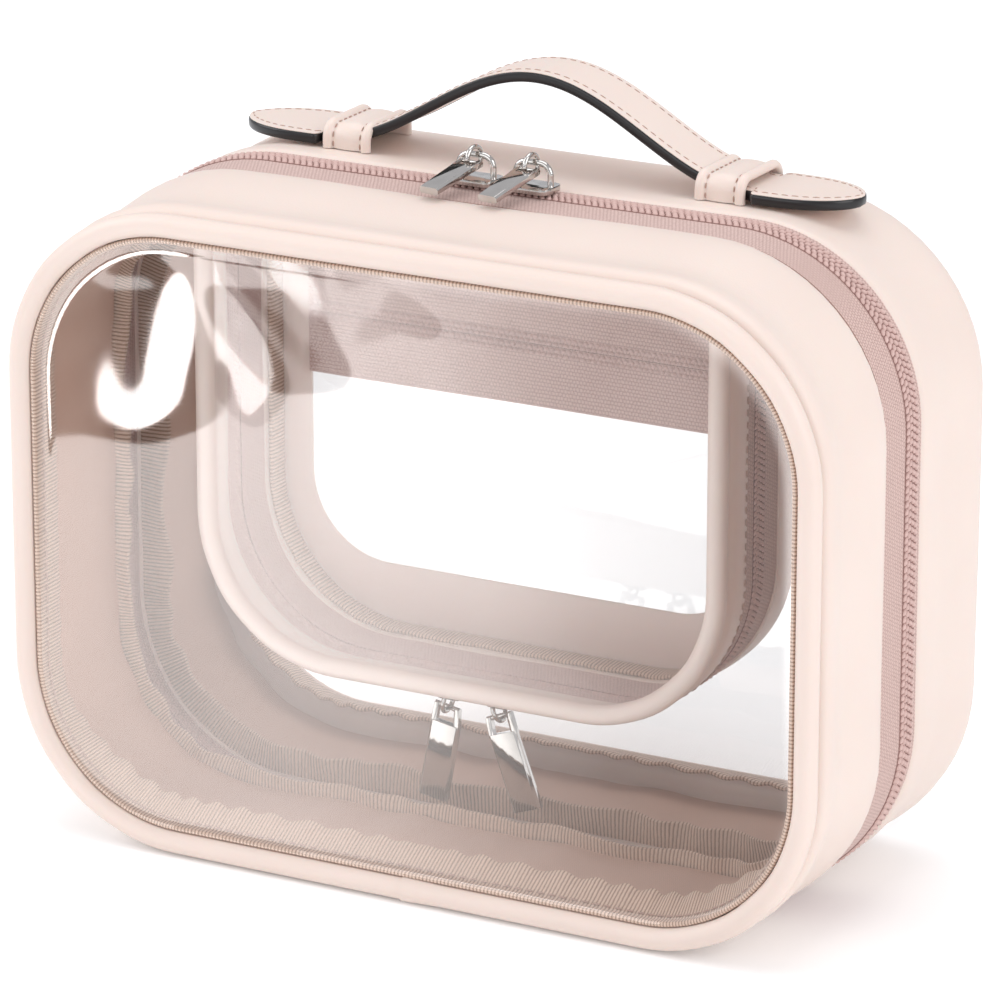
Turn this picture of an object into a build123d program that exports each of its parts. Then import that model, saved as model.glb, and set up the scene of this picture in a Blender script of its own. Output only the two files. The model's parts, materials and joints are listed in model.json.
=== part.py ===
from build123d import *
import os

# Makeup train case: two soft halves zipped together, a clear pouch hung inside and a strap handle on top.
# The frame stands at the middle of the base: +X to the viewer's right, -Y to the front, +Z up.
# All sizes are in millimetres.

# --- the case ---------------------------------------------------------------------------------------------
CASE_WIDTH = 240.0
CASE_HEIGHT = 182.0
FRONT_Y = -54.0
REAR_Y = 54.0
CORNER_RADIUS = 50.0
WALL = 2.2
REAR_ROLL = 9.0            # radius of the soft edge where the rear half turns over to its window
RUNNING_GAP = 0.3          # between pieces that move against each other

# --- the front bead and its window ------------------------------------------------------------------------
BEAD_RADIUS = 3.15
BEAD_INSET = 3.4
BEAD_TOP_DROP = 3.1        # the front edge is this much lower at the top than the rest of the lid
SHEET = 0.6                # clear film
BINDING = 1.6              # ribbed tape folded round a seam
SEAM_DEPTH = 9.0           # how far a bound seam stands out
LINING = 0.6

# --- the main zip -----------------------------------------------------------------------------------------
ZIP_Y = 3.7
COIL_WIDTH = 3.6           # one row
COIL_HEIGHT = 2.4
TAPE_INSET = 0.6
TAPE = 0.9
LID_EDGE_Y = -11.0         # the lid's gusset ends here and its zip tape shows
SHELL_EDGE_Y = 9.2
ZIP_END_X = 70.0           # the zip stops here under the base; between its ends is the hinge strip

# --- the inner pouch --------------------------------------------------------------------------------------
POUCH_HALF_WIDTH = 79.5
POUCH_LOW = 47.0
POUCH_TOP = 167.0
POUCH_RADIUS = 42.0
POUCH_FRONT_Y = -22.0
POUCH_REAR_Y = 20.5
POUCH_ZIP_Y = -2.0
POUCH_BEAD_RADIUS = 2.8
POUCH_WALL = 1.4
POUCH_COIL = 3.0
POUCH_TAPE_EDGE = (-8.5, 9.5)
POCKET_ZIP_Z = 135.3
POCKET_TAPE_LOW = 118.0
POCKET_TAPE_HIGH = 157.0
POCKET_HALF_WIDTH = 68.0
REAR_FRAME_LOW = 66.0

# --- the handle -------------------------------------------------------------------------------------------
HANDLE_Y = 30.0
STRAP_WIDTH = 19.0
STRAP = 3.0
ARCH_HEIGHT = 33.0
GRIP_HALF = 15.0
KEEPER_X = 56.0
KEEPER_WIDTH = 14.5
KEEPER = 1.8
TAB_TIP_X = 92.0
TAB_HALF_WIDTH = 12.5

# --- sliders, rings and pulls -----------------------------------------------------------------------------
SLIDER_LENGTH = 13.0
SLIDER_WIDTH = 9.4
SLIDER = 1.4
CROWN_LENGTH = 12.0
CROWN_REACH = 8.6          # top of the crown above the zip
CROWN_BAR = 0.85
RING_RADIUS = 3.0
RING_BAR = 0.65
RING_DROP = 1.15           # ring centre below the crown's bar
PIN_DROP = 2.65            # the pull's own bar below the crown's bar
PIN_RADIUS = 0.6
PULL_START = 4.0
PULL_LENGTH = 18.5
PULL_WIDTH = 7.2
PULL = 2.4
MAIN_SLIDERS = {"left": (-8.0, -9.0), "right": (9.0, -8.0)}          # x, turn about Z in degrees
POUCH_SLIDERS = {"left": (-13.5, 10.0), "right": (1.5, -20.0)}       # x, lean about Y in degrees
POCKET_SLIDER_X = 62.0

os.makedirs("parts", exist_ok=True)


def save(name, shape):
    """Write one node. A node of several solids is kept as a group."""
    shape.label = name
    export_step(shape, "parts/" + name + ".step")
    print(f"{name:26s} {shape.volume / 1000:9.3f} cm3")


def across(y):
    """A drawing plane that stands across the case at y and faces the front."""
    return Plane(origin=(0, y, 0), x_dir=(1, 0, 0), z_dir=(0, -1, 0))


def case_outline(inset, drop=0.0):
    """The case's rounded rectangle, moved in all round, its top lowered by drop."""
    low = inset
    high = CASE_HEIGHT - inset - drop
    shape = RectangleRounded(CASE_WIDTH - 2 * inset, high - low, CORNER_RADIUS - inset)
    return Pos(0, (low + high) / 2) * shape


def pouch_outline(inset):
    """The pouch's outline: square at the top and round at the lower corners."""
    low = POUCH_LOW + inset
    high = POUCH_TOP + 2 * POUCH_RADIUS
    tall = Pos(0, (low + high) / 2) * RectangleRounded(
        2 * (POUCH_HALF_WIDTH - inset), high - low, POUCH_RADIUS - inset)
    cut = Pos(0, POUCH_TOP + POUCH_RADIUS) * Rectangle(4 * POUCH_HALF_WIDTH, 2 * POUCH_RADIUS)
    return tall - cut


def slab(drawing, y_low, y_high):
    """A drawing across the case, made solid from y_low to y_high."""
    return extrude(across(y_high) * drawing, amount=y_high - y_low)


def case_band(outer, inner, y_low, y_high):
    """A closed band round the case between two insets."""
    return slab(case_outline(outer) - case_outline(inner), y_low, y_high)


def zip_band(outer, inner, y_low, y_high):
    """A band that leaves out the hinge strip's stretch under the base."""
    hinge = Pos(0, 0, 0) * Box(2 * ZIP_END_X, 4 * (y_high - y_low) + 8 * abs(y_low), 2 * CORNER_RADIUS)
    return case_band(outer, inner, y_low, y_high) - hinge


def pouch_band(outer, inner, y_low, y_high):
    """A U-shaped band round the pouch, open at its top."""
    hole = pouch_outline(inner) + Pos(0, POUCH_TOP) * Rectangle(2 * (POUCH_HALF_WIDTH - inner), 8)
    return slab(pouch_outline(outer) - hole, y_low, y_high)


def bead(path, radius):
    """A round cord swept along a path of straight runs and arcs."""
    start = Plane(origin=path @ 0, z_dir=path % 0)
    return sweep(start * Circle(radius), path=path)


def strap_height(x):
    """The flat strap's arch: high in the middle, level again at its ends."""
    run = min(abs(x) / KEEPER_X, 1.0)
    return (ARCH_HEIGHT - STRAP - RUNNING_GAP) * (1 - run * run) ** 1.35


# --- lid --------------------------------------------------------------------------------------------------
def make_lid():
    bead_y = FRONT_Y + BEAD_RADIUS
    bead_back = bead_y + BEAD_RADIUS
    bead_path = (across(bead_y) * case_outline(BEAD_INSET, BEAD_TOP_DROP)).face().outer_wire()
    save("lid_piping", bead(bead_path, BEAD_RADIUS))

    outer = loft([across(bead_back) * case_outline(0, BEAD_TOP_DROP), across(LID_EDGE_Y) * case_outline(0)])
    inner = loft([across(bead_back) * case_outline(WALL, BEAD_TOP_DROP), across(LID_EDGE_Y) * case_outline(WALL)])
    save("lid_gusset", outer - inner)

    rim = BEAD_INSET + BEAD_RADIUS + 0.1
    window_back = bead_y + SHEET / 2
    save("lid_window", slab(case_outline(rim, BEAD_TOP_DROP), bead_y - SHEET / 2, window_back))
    binding = case_outline(rim + 0.2, BEAD_TOP_DROP) - case_outline(rim + 0.2 + BINDING, BEAD_TOP_DROP)
    save("lid_window_binding", slab(binding, window_back, window_back + SEAM_DEPTH))

    seam_front = LID_EDGE_Y + 2.0
    lining_front = window_back + SEAM_DEPTH + 1.0
    lining_in = WALL + BEAD_TOP_DROP
    save("lid_lining", case_band(lining_in, lining_in + LINING, lining_front, seam_front))
    save("lid_zip_binding", case_band(TAPE_INSET + TAPE, WALL + SEAM_DEPTH - 1, seam_front, seam_front + BINDING))

    coil_edge = ZIP_Y - RUNNING_GAP / 2
    tape = zip_band(TAPE_INSET, TAPE_INSET + TAPE, LID_EDGE_Y, coil_edge - COIL_WIDTH)
    save("main_zip_tape_front", tape)
    save("main_zip_coil_front", zip_band(0, COIL_HEIGHT, coil_edge - COIL_WIDTH, coil_edge))
    strip_length = coil_edge - LID_EDGE_Y
    save("hinge_strip_front", Pos(0, coil_edge - strip_length / 2, 0.7) * Box(2 * ZIP_END_X - 1, strip_length, 1.4))


# --- rear half --------------------------------------------------------------------------------------------
def make_rear_half():
    outer = slab(case_outline(0), SHELL_EDGE_Y, REAR_Y)
    outer = fillet(outer.faces().sort_by(Axis.Y)[-1].edges(), REAR_ROLL)
    inner = slab(case_outline(WALL), SHELL_EDGE_Y, REAR_Y - WALL)
    inner = fillet(inner.faces().sort_by(Axis.Y)[-1].edges(), REAR_ROLL - WALL)
    opening = slab(case_outline(REAR_ROLL), REAR_Y - 2 * WALL, REAR_Y)
    save("rear_gusset", outer - inner - opening)

    window_back = REAR_Y - WALL
    save("rear_window", slab(case_outline(REAR_ROLL + 0.1), window_back - SHEET, window_back))
    seam = window_back - SHEET
    save("rear_window_binding", case_band(REAR_ROLL + 1, REAR_ROLL + 1 + BINDING, seam - SEAM_DEPTH, seam))
    lining_rear = REAR_Y - REAR_ROLL
    shell_seam = SHELL_EDGE_Y + 1.0
    save("rear_lining", case_band(WALL, WALL + LINING, shell_seam + BINDING, lining_rear))
    save("rear_zip_binding", case_band(WALL, WALL + SEAM_DEPTH - 1, shell_seam, shell_seam + BINDING))

    coil_edge = ZIP_Y + RUNNING_GAP / 2
    coil_back = coil_edge + COIL_WIDTH
    save("main_zip_coil_rear", zip_band(0, COIL_HEIGHT, coil_edge, coil_back))
    save("main_zip_tape_rear", zip_band(TAPE_INSET, TAPE_INSET + TAPE, coil_back, SHELL_EDGE_Y))
    strip_length = SHELL_EDGE_Y - coil_edge
    save("hinge_strip_rear", Pos(0, coil_edge + strip_length / 2, 0.7) * Box(2 * ZIP_END_X - 1, strip_length, 1.4))


# --- pouch ------------------------------------------------------------------------------------------------
def make_pouch_body():
    zip_back = POUCH_ZIP_Y + RUNNING_GAP / 2
    coil_back = zip_back + POUCH_COIL
    tape_back = POUCH_TAPE_EDGE[1]
    save("pouch_zip_coil_rear", pouch_band(0, 2.0, zip_back, coil_back))
    save("pouch_zip_tape_rear", pouch_band(0.4, 0.4 + TAPE, coil_back, tape_back))
    save("pouch_rear_gusset", pouch_band(0, POUCH_WALL, tape_back, POUCH_REAR_Y))

    hole_height = POCKET_TAPE_HIGH - REAR_FRAME_LOW
    hole = Pos(0, REAR_FRAME_LOW + hole_height / 2) * Rectangle(2 * POCKET_HALF_WIDTH, hole_height)
    frame_face = pouch_outline(POUCH_WALL) - hole
    save("pouch_rear_frame", slab(frame_face, POUCH_REAR_Y - 1.2, POUCH_REAR_Y))
    window_height = POCKET_TAPE_LOW - REAR_FRAME_LOW
    window = Pos(0, REAR_FRAME_LOW + window_height / 2) * Rectangle(2 * POCKET_HALF_WIDTH, window_height)
    save("pouch_rear_window", slab(window, POUCH_REAR_Y - 1.0, POUCH_REAR_Y - 0.4))
    seam_y = POUCH_REAR_Y - 1.2
    save("pouch_rear_binding", pouch_band(POUCH_WALL, POUCH_WALL + BINDING, seam_y - 7, seam_y))

    coil_low = POCKET_ZIP_Z - POUCH_COIL
    coil_high = POCKET_ZIP_Z + POUCH_COIL
    strips = {
        "pocket_zip_tape_lower": (POCKET_TAPE_LOW, coil_low, TAPE),
        "pocket_zip_coil": (coil_low, coil_high, 1.8),
        "pocket_zip_tape_upper": (coil_high, POCKET_TAPE_HIGH, TAPE),
    }
    for name, (low, high, thick) in strips.items():
        middle = (low + high) / 2
        save(name, Pos(0, POUCH_REAR_Y - 1.2, middle) * Box(2 * POCKET_HALF_WIDTH, thick, high - low))

    top_front = POUCH_FRONT_Y - POUCH_BEAD_RADIUS
    top_depth = POUCH_REAR_Y - top_front
    top_panel = Pos(0, top_front + top_depth / 2, POUCH_TOP + 1.0) * Box(2 * POUCH_HALF_WIDTH, top_depth, 1.4)
    save("pouch_top_panel", top_panel)
    strip_low = POUCH_TOP + 1.7
    strip_high = CASE_HEIGHT - WALL - LINING
    hanging = Pos(0, SHELL_EDGE_Y + 6, (strip_low + strip_high) / 2) * Box(2 * ZIP_END_X, 1.4, strip_high - strip_low)
    save("pouch_hanging_strip", hanging)


def make_pouch_flap():
    bead_face = (across(POUCH_FRONT_Y) * pouch_outline(POUCH_BEAD_RADIUS)).face()
    bead_wire = bead_face.outer_wire()
    top_edge = bead_wire.edges().sort_by(Axis.Z)[-1]
    u_path = Wire([e for e in bead_wire.edges() if e.center().Z < top_edge.center().Z - 1])
    save("pouch_piping", bead(u_path, POUCH_BEAD_RADIUS))

    rim = 2 * POUCH_BEAD_RADIUS + 0.1
    save("pouch_front_window", slab(pouch_outline(rim), POUCH_FRONT_Y - SHEET / 2, POUCH_FRONT_Y + SHEET / 2))
    gusset_front = POUCH_FRONT_Y + POUCH_BEAD_RADIUS
    zip_front = POUCH_ZIP_Y - RUNNING_GAP / 2
    coil_front = zip_front - POUCH_COIL
    save("pouch_front_gusset", pouch_band(0, POUCH_WALL, gusset_front, POUCH_TAPE_EDGE[0]))
    save("pouch_zip_tape_front", pouch_band(0.4, 0.4 + TAPE, POUCH_TAPE_EDGE[0], coil_front))
    save("pouch_zip_coil_front", pouch_band(0, 2.0, coil_front, zip_front))


# --- handle -----------------------------------------------------------------------------------------------
def strap_run(x_start, x_end, steps, end_height=None):
    """A stretch of the strap from x_start to x_end, following the arch."""
    xs = [x_start + (x_end - x_start) * i / steps for i in range(steps + 1)]
    base = CASE_HEIGHT + RUNNING_GAP
    low = [(x, base + strap_height(x)) for x in xs]
    high = [(x, z + STRAP) for x, z in reversed(low)]
    drawing = make_face(Polyline(*low, *high, close=True))
    return extrude(across(HANDLE_Y + STRAP_WIDTH / 2) * drawing, amount=STRAP_WIDTH)


def make_handle():
    keeper_inner = KEEPER_X - KEEPER_WIDTH / 2
    save("handle_grip", strap_run(-GRIP_HALF, GRIP_HALF, 12))
    for side, sign in (("left", -1), ("right", 1)):
        slope_ends = sorted((sign * (GRIP_HALF + RUNNING_GAP), sign * (keeper_inner - 1)))
        save("handle_slope_" + side, strap_run(*slope_ends, 10))

        tab_start = keeper_inner - 1 + RUNNING_GAP
        neck_length = TAB_TIP_X - TAB_HALF_WIDTH - tab_start
        neck = Pos(sign * (tab_start + neck_length / 2), 0) * Rectangle(neck_length, STRAP_WIDTH)
        tip_x = TAB_TIP_X - 1.15 * TAB_HALF_WIDTH
        tip = Pos(sign * tip_x, 0) * Ellipse(1.15 * TAB_HALF_WIDTH, TAB_HALF_WIDTH)
        level = Plane(origin=(0, HANDLE_Y, CASE_HEIGHT + RUNNING_GAP))
        save("handle_tab_" + side, extrude(level * (neck + tip), amount=STRAP))

        room = STRAP_WIDTH + 1.2
        inside_top = CASE_HEIGHT + STRAP + 2 * RUNNING_GAP
        loop_high = inside_top + KEEPER - CASE_HEIGHT
        loop = Pos(0, 0, loop_high / 2) * Box(KEEPER_WIDTH, room + 2 * KEEPER, loop_high)
        tunnel = Pos(0, 0, (inside_top - CASE_HEIGHT) / 2) * Box(KEEPER_WIDTH, room, inside_top - CASE_HEIGHT)
        save("keeper_loop_" + side, Pos(sign * KEEPER_X, HANDLE_Y, CASE_HEIGHT) * (loop - tunnel))


# --- sliders ----------------------------------------------------------------------------------------------
def slider_body():
    """A slider on a zip that runs along X, seen from outside: the zip's face is z = 0 and +Z is outward."""
    plate = Plane(origin=(0, 0, RUNNING_GAP)) * RectangleRounded(SLIDER_LENGTH, SLIDER_WIDTH, 2.5)
    plate = extrude(plate, amount=SLIDER)
    bar_top = CROWN_REACH - CROWN_BAR
    foot = RUNNING_GAP + SLIDER / 2
    half = CROWN_LENGTH / 2 - CROWN_BAR
    corner = 3.2
    points = ((-half, 0, foot), (-half, 0, bar_top), (half, 0, bar_top), (half, 0, foot))
    path = FilletPolyline(*points, radius=corner)
    crown = sweep(Plane(origin=path @ 0, z_dir=path % 0) * Circle(CROWN_BAR), path=path)
    return plate + crown


def slider_ring():
    """A ring that hangs from a bar along X at the origin."""
    return Pos(0, 0, -RING_DROP) * Rot(0, 90, 0) * Torus(RING_RADIUS, RING_BAR)


def pull_tab():
    """A pull that hangs from its own bar along X at the origin: a bar, two ears and a bevelled plate."""
    pin = Rot(0, 90, 0) * Cylinder(PIN_RADIUS, PULL_WIDTH)
    ear = Box(1.3, 1.8, PULL_START + 1.0)
    ear_x = PULL_WIDTH / 2 - 0.65
    ear_z = -(PULL_START + 1.0) / 2 + 0.3
    plate = Pos(0, 0, -PULL_START - PULL_LENGTH / 2) * Box(PULL_WIDTH, PULL, PULL_LENGTH)
    plate = chamfer(plate.edges().filter_by(Axis.Z), 0.6)
    return pin + Pos(ear_x, 0, ear_z) * ear + Pos(-ear_x, 0, ear_z) * ear + plate


def hang(name_ring, name_pull, place, ring_angle, pull_angle):
    """Hang a ring and its pull from a crown at place, each swung about X by its own angle."""
    save(name_ring, place * Rot(ring_angle, 0, 0) * slider_ring())
    pull = Rot(ring_angle, 0, 0) * Pos(0, 0, -PIN_DROP) * Rot(pull_angle - ring_angle, 0, 0) * pull_tab()
    save(name_pull, place * pull)


def make_sliders():
    bar = CROWN_REACH - CROWN_BAR
    for side, (x, turn) in MAIN_SLIDERS.items():
        save("main_slider_" + side, Pos(x, ZIP_Y, CASE_HEIGHT) * slider_body())
        place = Pos(x, ZIP_Y, CASE_HEIGHT + bar) * Rot(0, 0, turn)
        hang("main_ring_" + side, "main_pull_" + side, place, -50, -78)
    for side, (x, lean) in POUCH_SLIDERS.items():
        save("pouch_slider_" + side, Pos(x, POUCH_ZIP_Y, POUCH_LOW) * Rot(180, 0, 0) * slider_body())
        place = Pos(x, POUCH_ZIP_Y, POUCH_LOW - bar) * Rot(0, lean, 0)
        hang("pouch_ring_" + side, "pouch_pull_" + side, place, 0, 0)
    face_y = POUCH_REAR_Y - 0.3
    save("pocket_slider", Pos(POCKET_SLIDER_X, face_y, POCKET_ZIP_Z) * Rot(-90, 0, 0) * slider_body())
    hang("pocket_ring", "pocket_pull", Pos(POCKET_SLIDER_X, face_y + bar, POCKET_ZIP_Z), 0, 0)


make_lid()
make_rear_half()
make_pouch_body()
make_pouch_flap()
make_handle()
make_sliders()
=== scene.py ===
# %% [markdown]
# A soft makeup case, piece by piece. The case has two halves joined by a long zip: a lid with a clear
# front window inside a round bead, and a deeper rear half with a clear back window. A small clear pouch
# hangs inside, and a flat strap handle slides through two keeper loops on top.
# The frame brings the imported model: its nodes, bodies and joints. All the sizes below start from it.

# %% Load the frame
import json
import math

import bpy
import numpy as np
from mathutils import Matrix, Vector

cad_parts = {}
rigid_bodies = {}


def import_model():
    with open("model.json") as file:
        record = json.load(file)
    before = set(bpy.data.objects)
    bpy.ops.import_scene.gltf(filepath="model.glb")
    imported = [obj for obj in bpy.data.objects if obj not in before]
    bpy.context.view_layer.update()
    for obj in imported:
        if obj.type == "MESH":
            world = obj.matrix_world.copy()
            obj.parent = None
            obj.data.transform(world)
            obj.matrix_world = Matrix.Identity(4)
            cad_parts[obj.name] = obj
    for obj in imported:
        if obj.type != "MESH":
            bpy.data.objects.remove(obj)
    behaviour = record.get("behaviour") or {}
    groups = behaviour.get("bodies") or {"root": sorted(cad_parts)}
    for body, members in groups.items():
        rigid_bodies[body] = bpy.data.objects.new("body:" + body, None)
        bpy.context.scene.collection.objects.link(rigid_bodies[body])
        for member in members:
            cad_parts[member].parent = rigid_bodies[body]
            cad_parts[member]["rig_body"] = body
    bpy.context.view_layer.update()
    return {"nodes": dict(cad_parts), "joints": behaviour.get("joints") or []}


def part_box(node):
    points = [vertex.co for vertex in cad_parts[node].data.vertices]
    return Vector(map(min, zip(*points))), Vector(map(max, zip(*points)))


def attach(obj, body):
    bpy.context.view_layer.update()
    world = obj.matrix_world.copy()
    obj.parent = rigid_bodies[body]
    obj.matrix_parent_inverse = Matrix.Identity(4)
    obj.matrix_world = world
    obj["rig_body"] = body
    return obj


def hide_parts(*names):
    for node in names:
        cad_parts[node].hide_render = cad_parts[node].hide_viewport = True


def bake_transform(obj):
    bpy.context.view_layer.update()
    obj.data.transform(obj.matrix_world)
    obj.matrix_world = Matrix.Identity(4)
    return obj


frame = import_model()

MM = 0.001

# %% [markdown]
# Most pieces of a bag are long strips: a wall, a bead, a tape, a bound seam. Each follows one line round
# the case. So the first helper describes a line as a row of stations. A station has a place, the direction
# that points out of the case, the direction across the strip, and how far along the line it is.

# %% Lines that strips follow
shell_low, shell_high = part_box("rear_gusset")
CASE_HALF = shell_high.x
CASE_TOP = shell_high.z
CORNER = 50 * MM
ACROSS = Vector((0, 1, 0))


def corner_arc(centre_x, centre_z, radius, start, end, steps):
    """Places and outward directions round one corner, its angles in degrees from +X towards +Z."""
    found = []
    for i in range(steps + 1):
        angle = math.radians(start + (end - start) * i / steps)
        out = Vector((math.cos(angle), 0, math.sin(angle)))
        found.append((Vector((centre_x, 0, centre_z)) + out * radius, out))
    return found


def measured(places, closed):
    """Fill in straight runs evenly and measure the line: a list of (place, out, across, distance)."""
    if closed:
        places = places + places[:1]
    stations = []
    distance = 0.0
    for (here, out), (ahead, next_out) in zip(places, places[1:]):
        run = (ahead - here).length
        pieces = max(1, round(run / (6 * MM)))
        for k in range(pieces):
            share = k / pieces
            stations.append((here.lerp(ahead, share), out.lerp(next_out, share).normalized(), ACROSS,
                             distance + run * share))
        distance += run
    last_place, last_out = places[-1]
    stations.append((last_place, last_out, ACROSS, distance))
    return stations


def case_line(steps=14, half=CASE_HALF, low=0.0, high=CASE_TOP, radius=CORNER):
    """The rounded rectangle seen from the front, from the middle of the base round to the right."""
    x, z = half - radius, radius
    down = Vector((0, 0, -1))
    places = [(Vector((0, 0, low)), down)]
    places += corner_arc(x, low + z, radius, -90, 0, steps)
    places += corner_arc(x, high - z, radius, 0, 90, steps)
    places += corner_arc(-x, high - z, radius, 90, 180, steps)
    places += corner_arc(-x, low + z, radius, 180, 270, steps)
    return measured(places, True)


def between_ends(stations, end_x):
    """The part of the case line that leaves out the base between -end_x and end_x."""
    low = [k for k, s in enumerate(stations) if s[0].z < 1e-6 and abs(s[0].x) < end_x - 1e-6]
    return [s for k, s in enumerate(stations) if k not in low]


def u_line(half, low, high, radius, steps=12):
    """A U seen from the front: down on the right, round under, up on the left."""
    x = half - radius
    places = [(Vector((half, 0, high)), Vector((1, 0, 0)))]
    places += list(reversed(corner_arc(x, low + radius, radius, -90, 0, steps)))
    places += list(reversed(corner_arc(-x, low + radius, radius, -180, -90, steps)))
    places.append((Vector((-half, 0, high)), Vector((-1, 0, 0))))
    return measured(places, False)


print("the line round the case is", round(case_line()[-1][3] / MM), "mm long")

# %% [markdown]
# A strip starts as a flat grid, like the cut leather. Its columns are laid on the line's stations and its
# rows on the points of a profile, which is the strip's cross-section: how far in from the line, and how
# far across. When the profile is closed the strip is a solid with its own thickness. The grid's UV map
# keeps real distances in metres, so ribs, weave and stitches can be drawn at their true pitch.

# %% Helpers that shape a strip
def only(obj):
    """Select one object and make it active."""
    bpy.ops.object.select_all(action="DESELECT")
    obj.select_set(True)
    bpy.context.view_layer.objects.active = obj


def tidy_mesh(obj, fill_ends, sharp=40):
    """Merge the seam, close open ends, turn the faces outwards and shade smoothly below an angle."""
    only(obj)
    bpy.ops.object.mode_set(mode="EDIT")
    bpy.ops.mesh.select_all(action="SELECT")
    bpy.ops.mesh.remove_doubles(threshold=1e-6)
    if fill_ends:
        bpy.ops.mesh.select_all(action="SELECT")
        bpy.ops.mesh.fill_holes(sides=0)
    bpy.ops.mesh.select_all(action="SELECT")
    bpy.ops.mesh.normals_make_consistent(inside=False)
    bpy.ops.object.mode_set(mode="OBJECT")
    bpy.ops.object.shade_smooth_by_angle(angle=math.radians(sharp))


def strip(name, stations, profile, closed_line=True, closed_profile=True, nudge=None, sharp=40):
    """Lay a grid on stations and a profile of (inset, across) points. nudge may move each point."""
    rows = profile + profile[:1] if closed_profile else profile
    heights = [0.0]
    for (a, b), (c, d) in zip(rows, rows[1:]):
        heights.append(heights[-1] + math.hypot(c - a, d - b))
    bpy.ops.mesh.primitive_grid_add(x_subdivisions=len(stations) - 1, y_subdivisions=len(rows) - 1, size=1)
    obj = bpy.context.object
    obj.name = name
    obj.data.name = name
    spots = []
    for vertex in obj.data.vertices:
        i = round((vertex.co.x + 0.5) * (len(stations) - 1))
        j = round((vertex.co.y + 0.5) * (len(rows) - 1))
        place, out, side, distance = stations[i]
        inset, depth = rows[j]
        point = place - out * inset + side * depth
        vertex.co = nudge(point, out, distance, inset) if nudge else point
        spots.append((distance, heights[j]))
    layer = obj.data.uv_layers.active
    for loop in obj.data.loops:
        layer.data[loop.index].uv = spots[loop.vertex_index]
    tidy_mesh(obj, closed_profile and not closed_line, sharp)
    return obj


def round_profile(inset, depth, radius, points=14):
    """A round cord's cross-section."""
    turns = [2 * math.pi * k / points for k in range(points)]
    return [(inset + radius * math.cos(t), depth + radius * math.sin(t)) for t in turns]


def tape_profile(inset, thick, start, end, steps=4):
    """A flat tape's cross-section from start to end, with several rows so that it can bend."""
    depths = [start + (end - start) * k / steps for k in range(steps + 1)]
    return [(inset, d) for d in depths] + [(inset + thick, d) for d in reversed(depths)]


def apply_all(obj):
    """Apply every modifier, as the finished mesh is what counts."""
    only(obj)
    for modifier in list(obj.modifiers):
        bpy.ops.object.modifier_apply(modifier=modifier.name)


def put(obj, body, slot, *nodes):
    """Hand a piece to a body, say what it is made of and hide the plain nodes it stands for."""
    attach(obj, body)
    if nodes:
        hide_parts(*nodes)
    obj.data.materials.clear()
    obj.data.materials.append(FINISHES[slot])
    return obj


def repeated(name, seed, places):
    """Many copies of one small mesh, each set down by its own matrix, joined as one piece."""
    base = np.array([v.co for v in seed.data.vertices])
    faces = [tuple(p.vertices) for p in seed.data.polygons]
    points = []
    polygons = []
    for k, place in enumerate(places):
        turn = np.array(place.to_3x3())
        points.append(base @ turn.T + np.array(place.translation))
        polygons += [tuple(v + k * len(base) for v in f) for f in faces]
    mesh = bpy.data.meshes.new(name)
    mesh.from_pydata(np.concatenate(points).tolist(), [], polygons)
    obj = bpy.data.objects.new(name, mesh)
    bpy.context.scene.collection.objects.link(obj)
    bpy.data.objects.remove(seed)
    only(obj)
    bpy.ops.object.shade_smooth()
    return obj


def frame_at(place, along, out):
    """A matrix whose X runs along a line, whose Z points out and whose Y runs across."""
    along = along.normalized()
    across = out.cross(along).normalized()
    out = along.cross(across)
    matrix = Matrix((along, across, out)).transposed().to_4x4()
    matrix.translation = place
    return matrix


def walk(stations, pitch, start=0.0, end=None):
    """Evenly spaced (place, along, out) marks down a line."""
    total = stations[-1][3] if end is None else end
    marks = []
    k = 0
    distance = start
    while distance <= total:
        while k < len(stations) - 2 and stations[k + 1][3] < distance:
            k += 1
        (here, out, side, low), (ahead, next_out, _, high) = stations[k], stations[k + 1]
        share = (distance - low) / max(high - low, 1e-9)
        marks.append((here.lerp(ahead, share), (ahead - here).normalized(),
                      out.lerp(next_out, share).normalized()))
        distance += pitch
    return marks


def capsule(length, width, height, segments=8, rings=6):
    """A small rounded bar along X, for a stitch or one turn of a coil."""
    bpy.ops.mesh.primitive_uv_sphere_add(segments=segments, ring_count=rings, radius=0.5)
    seed = bpy.context.object
    bpy.ops.transform.rotate(value=math.pi / 2, orient_axis="Y")
    bpy.ops.object.transform_apply(location=False, rotation=True, scale=False)
    seed.scale = (length, width, height)
    bpy.ops.object.transform_apply(location=False, rotation=False, scale=True)
    return seed


STITCH_PITCH = 3.3 * MM
STITCH_LENGTH = STITCH_PITCH * 0.7
THREAD = 0.55 * MM


def stitches(name, stations, inset, depth, body, start=0.0, end=None, nudge=None):
    """A row of stitches at an inset and a depth from a line."""
    places = []
    for place, along, out in walk(stations, STITCH_PITCH, start, end):
        spot = place - out * inset + ACROSS * depth
        places.append(frame_at(nudge(spot, out, 0, inset) if nudge else spot, along, out))
    seed = capsule(STITCH_LENGTH, THREAD, THREAD, 6, 4)
    return put(repeated(name, seed, places), body, "thread")


def in_mm(profile):
    return [(a * MM, b * MM) for a, b in profile]


print("stitches", round(STITCH_LENGTH / MM, 1), "mm long, every", round(STITCH_PITCH / MM, 1), "mm")

# %% [markdown]
# Now the finishes. The coated fabric is smooth with a very fine grain, the bindings are ribbed across
# their width, the zip tapes are woven in small slanting steps, and the lining is a plain fine weave. Each
# effect is a node group with its own inputs, so several finishes share it.

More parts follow.
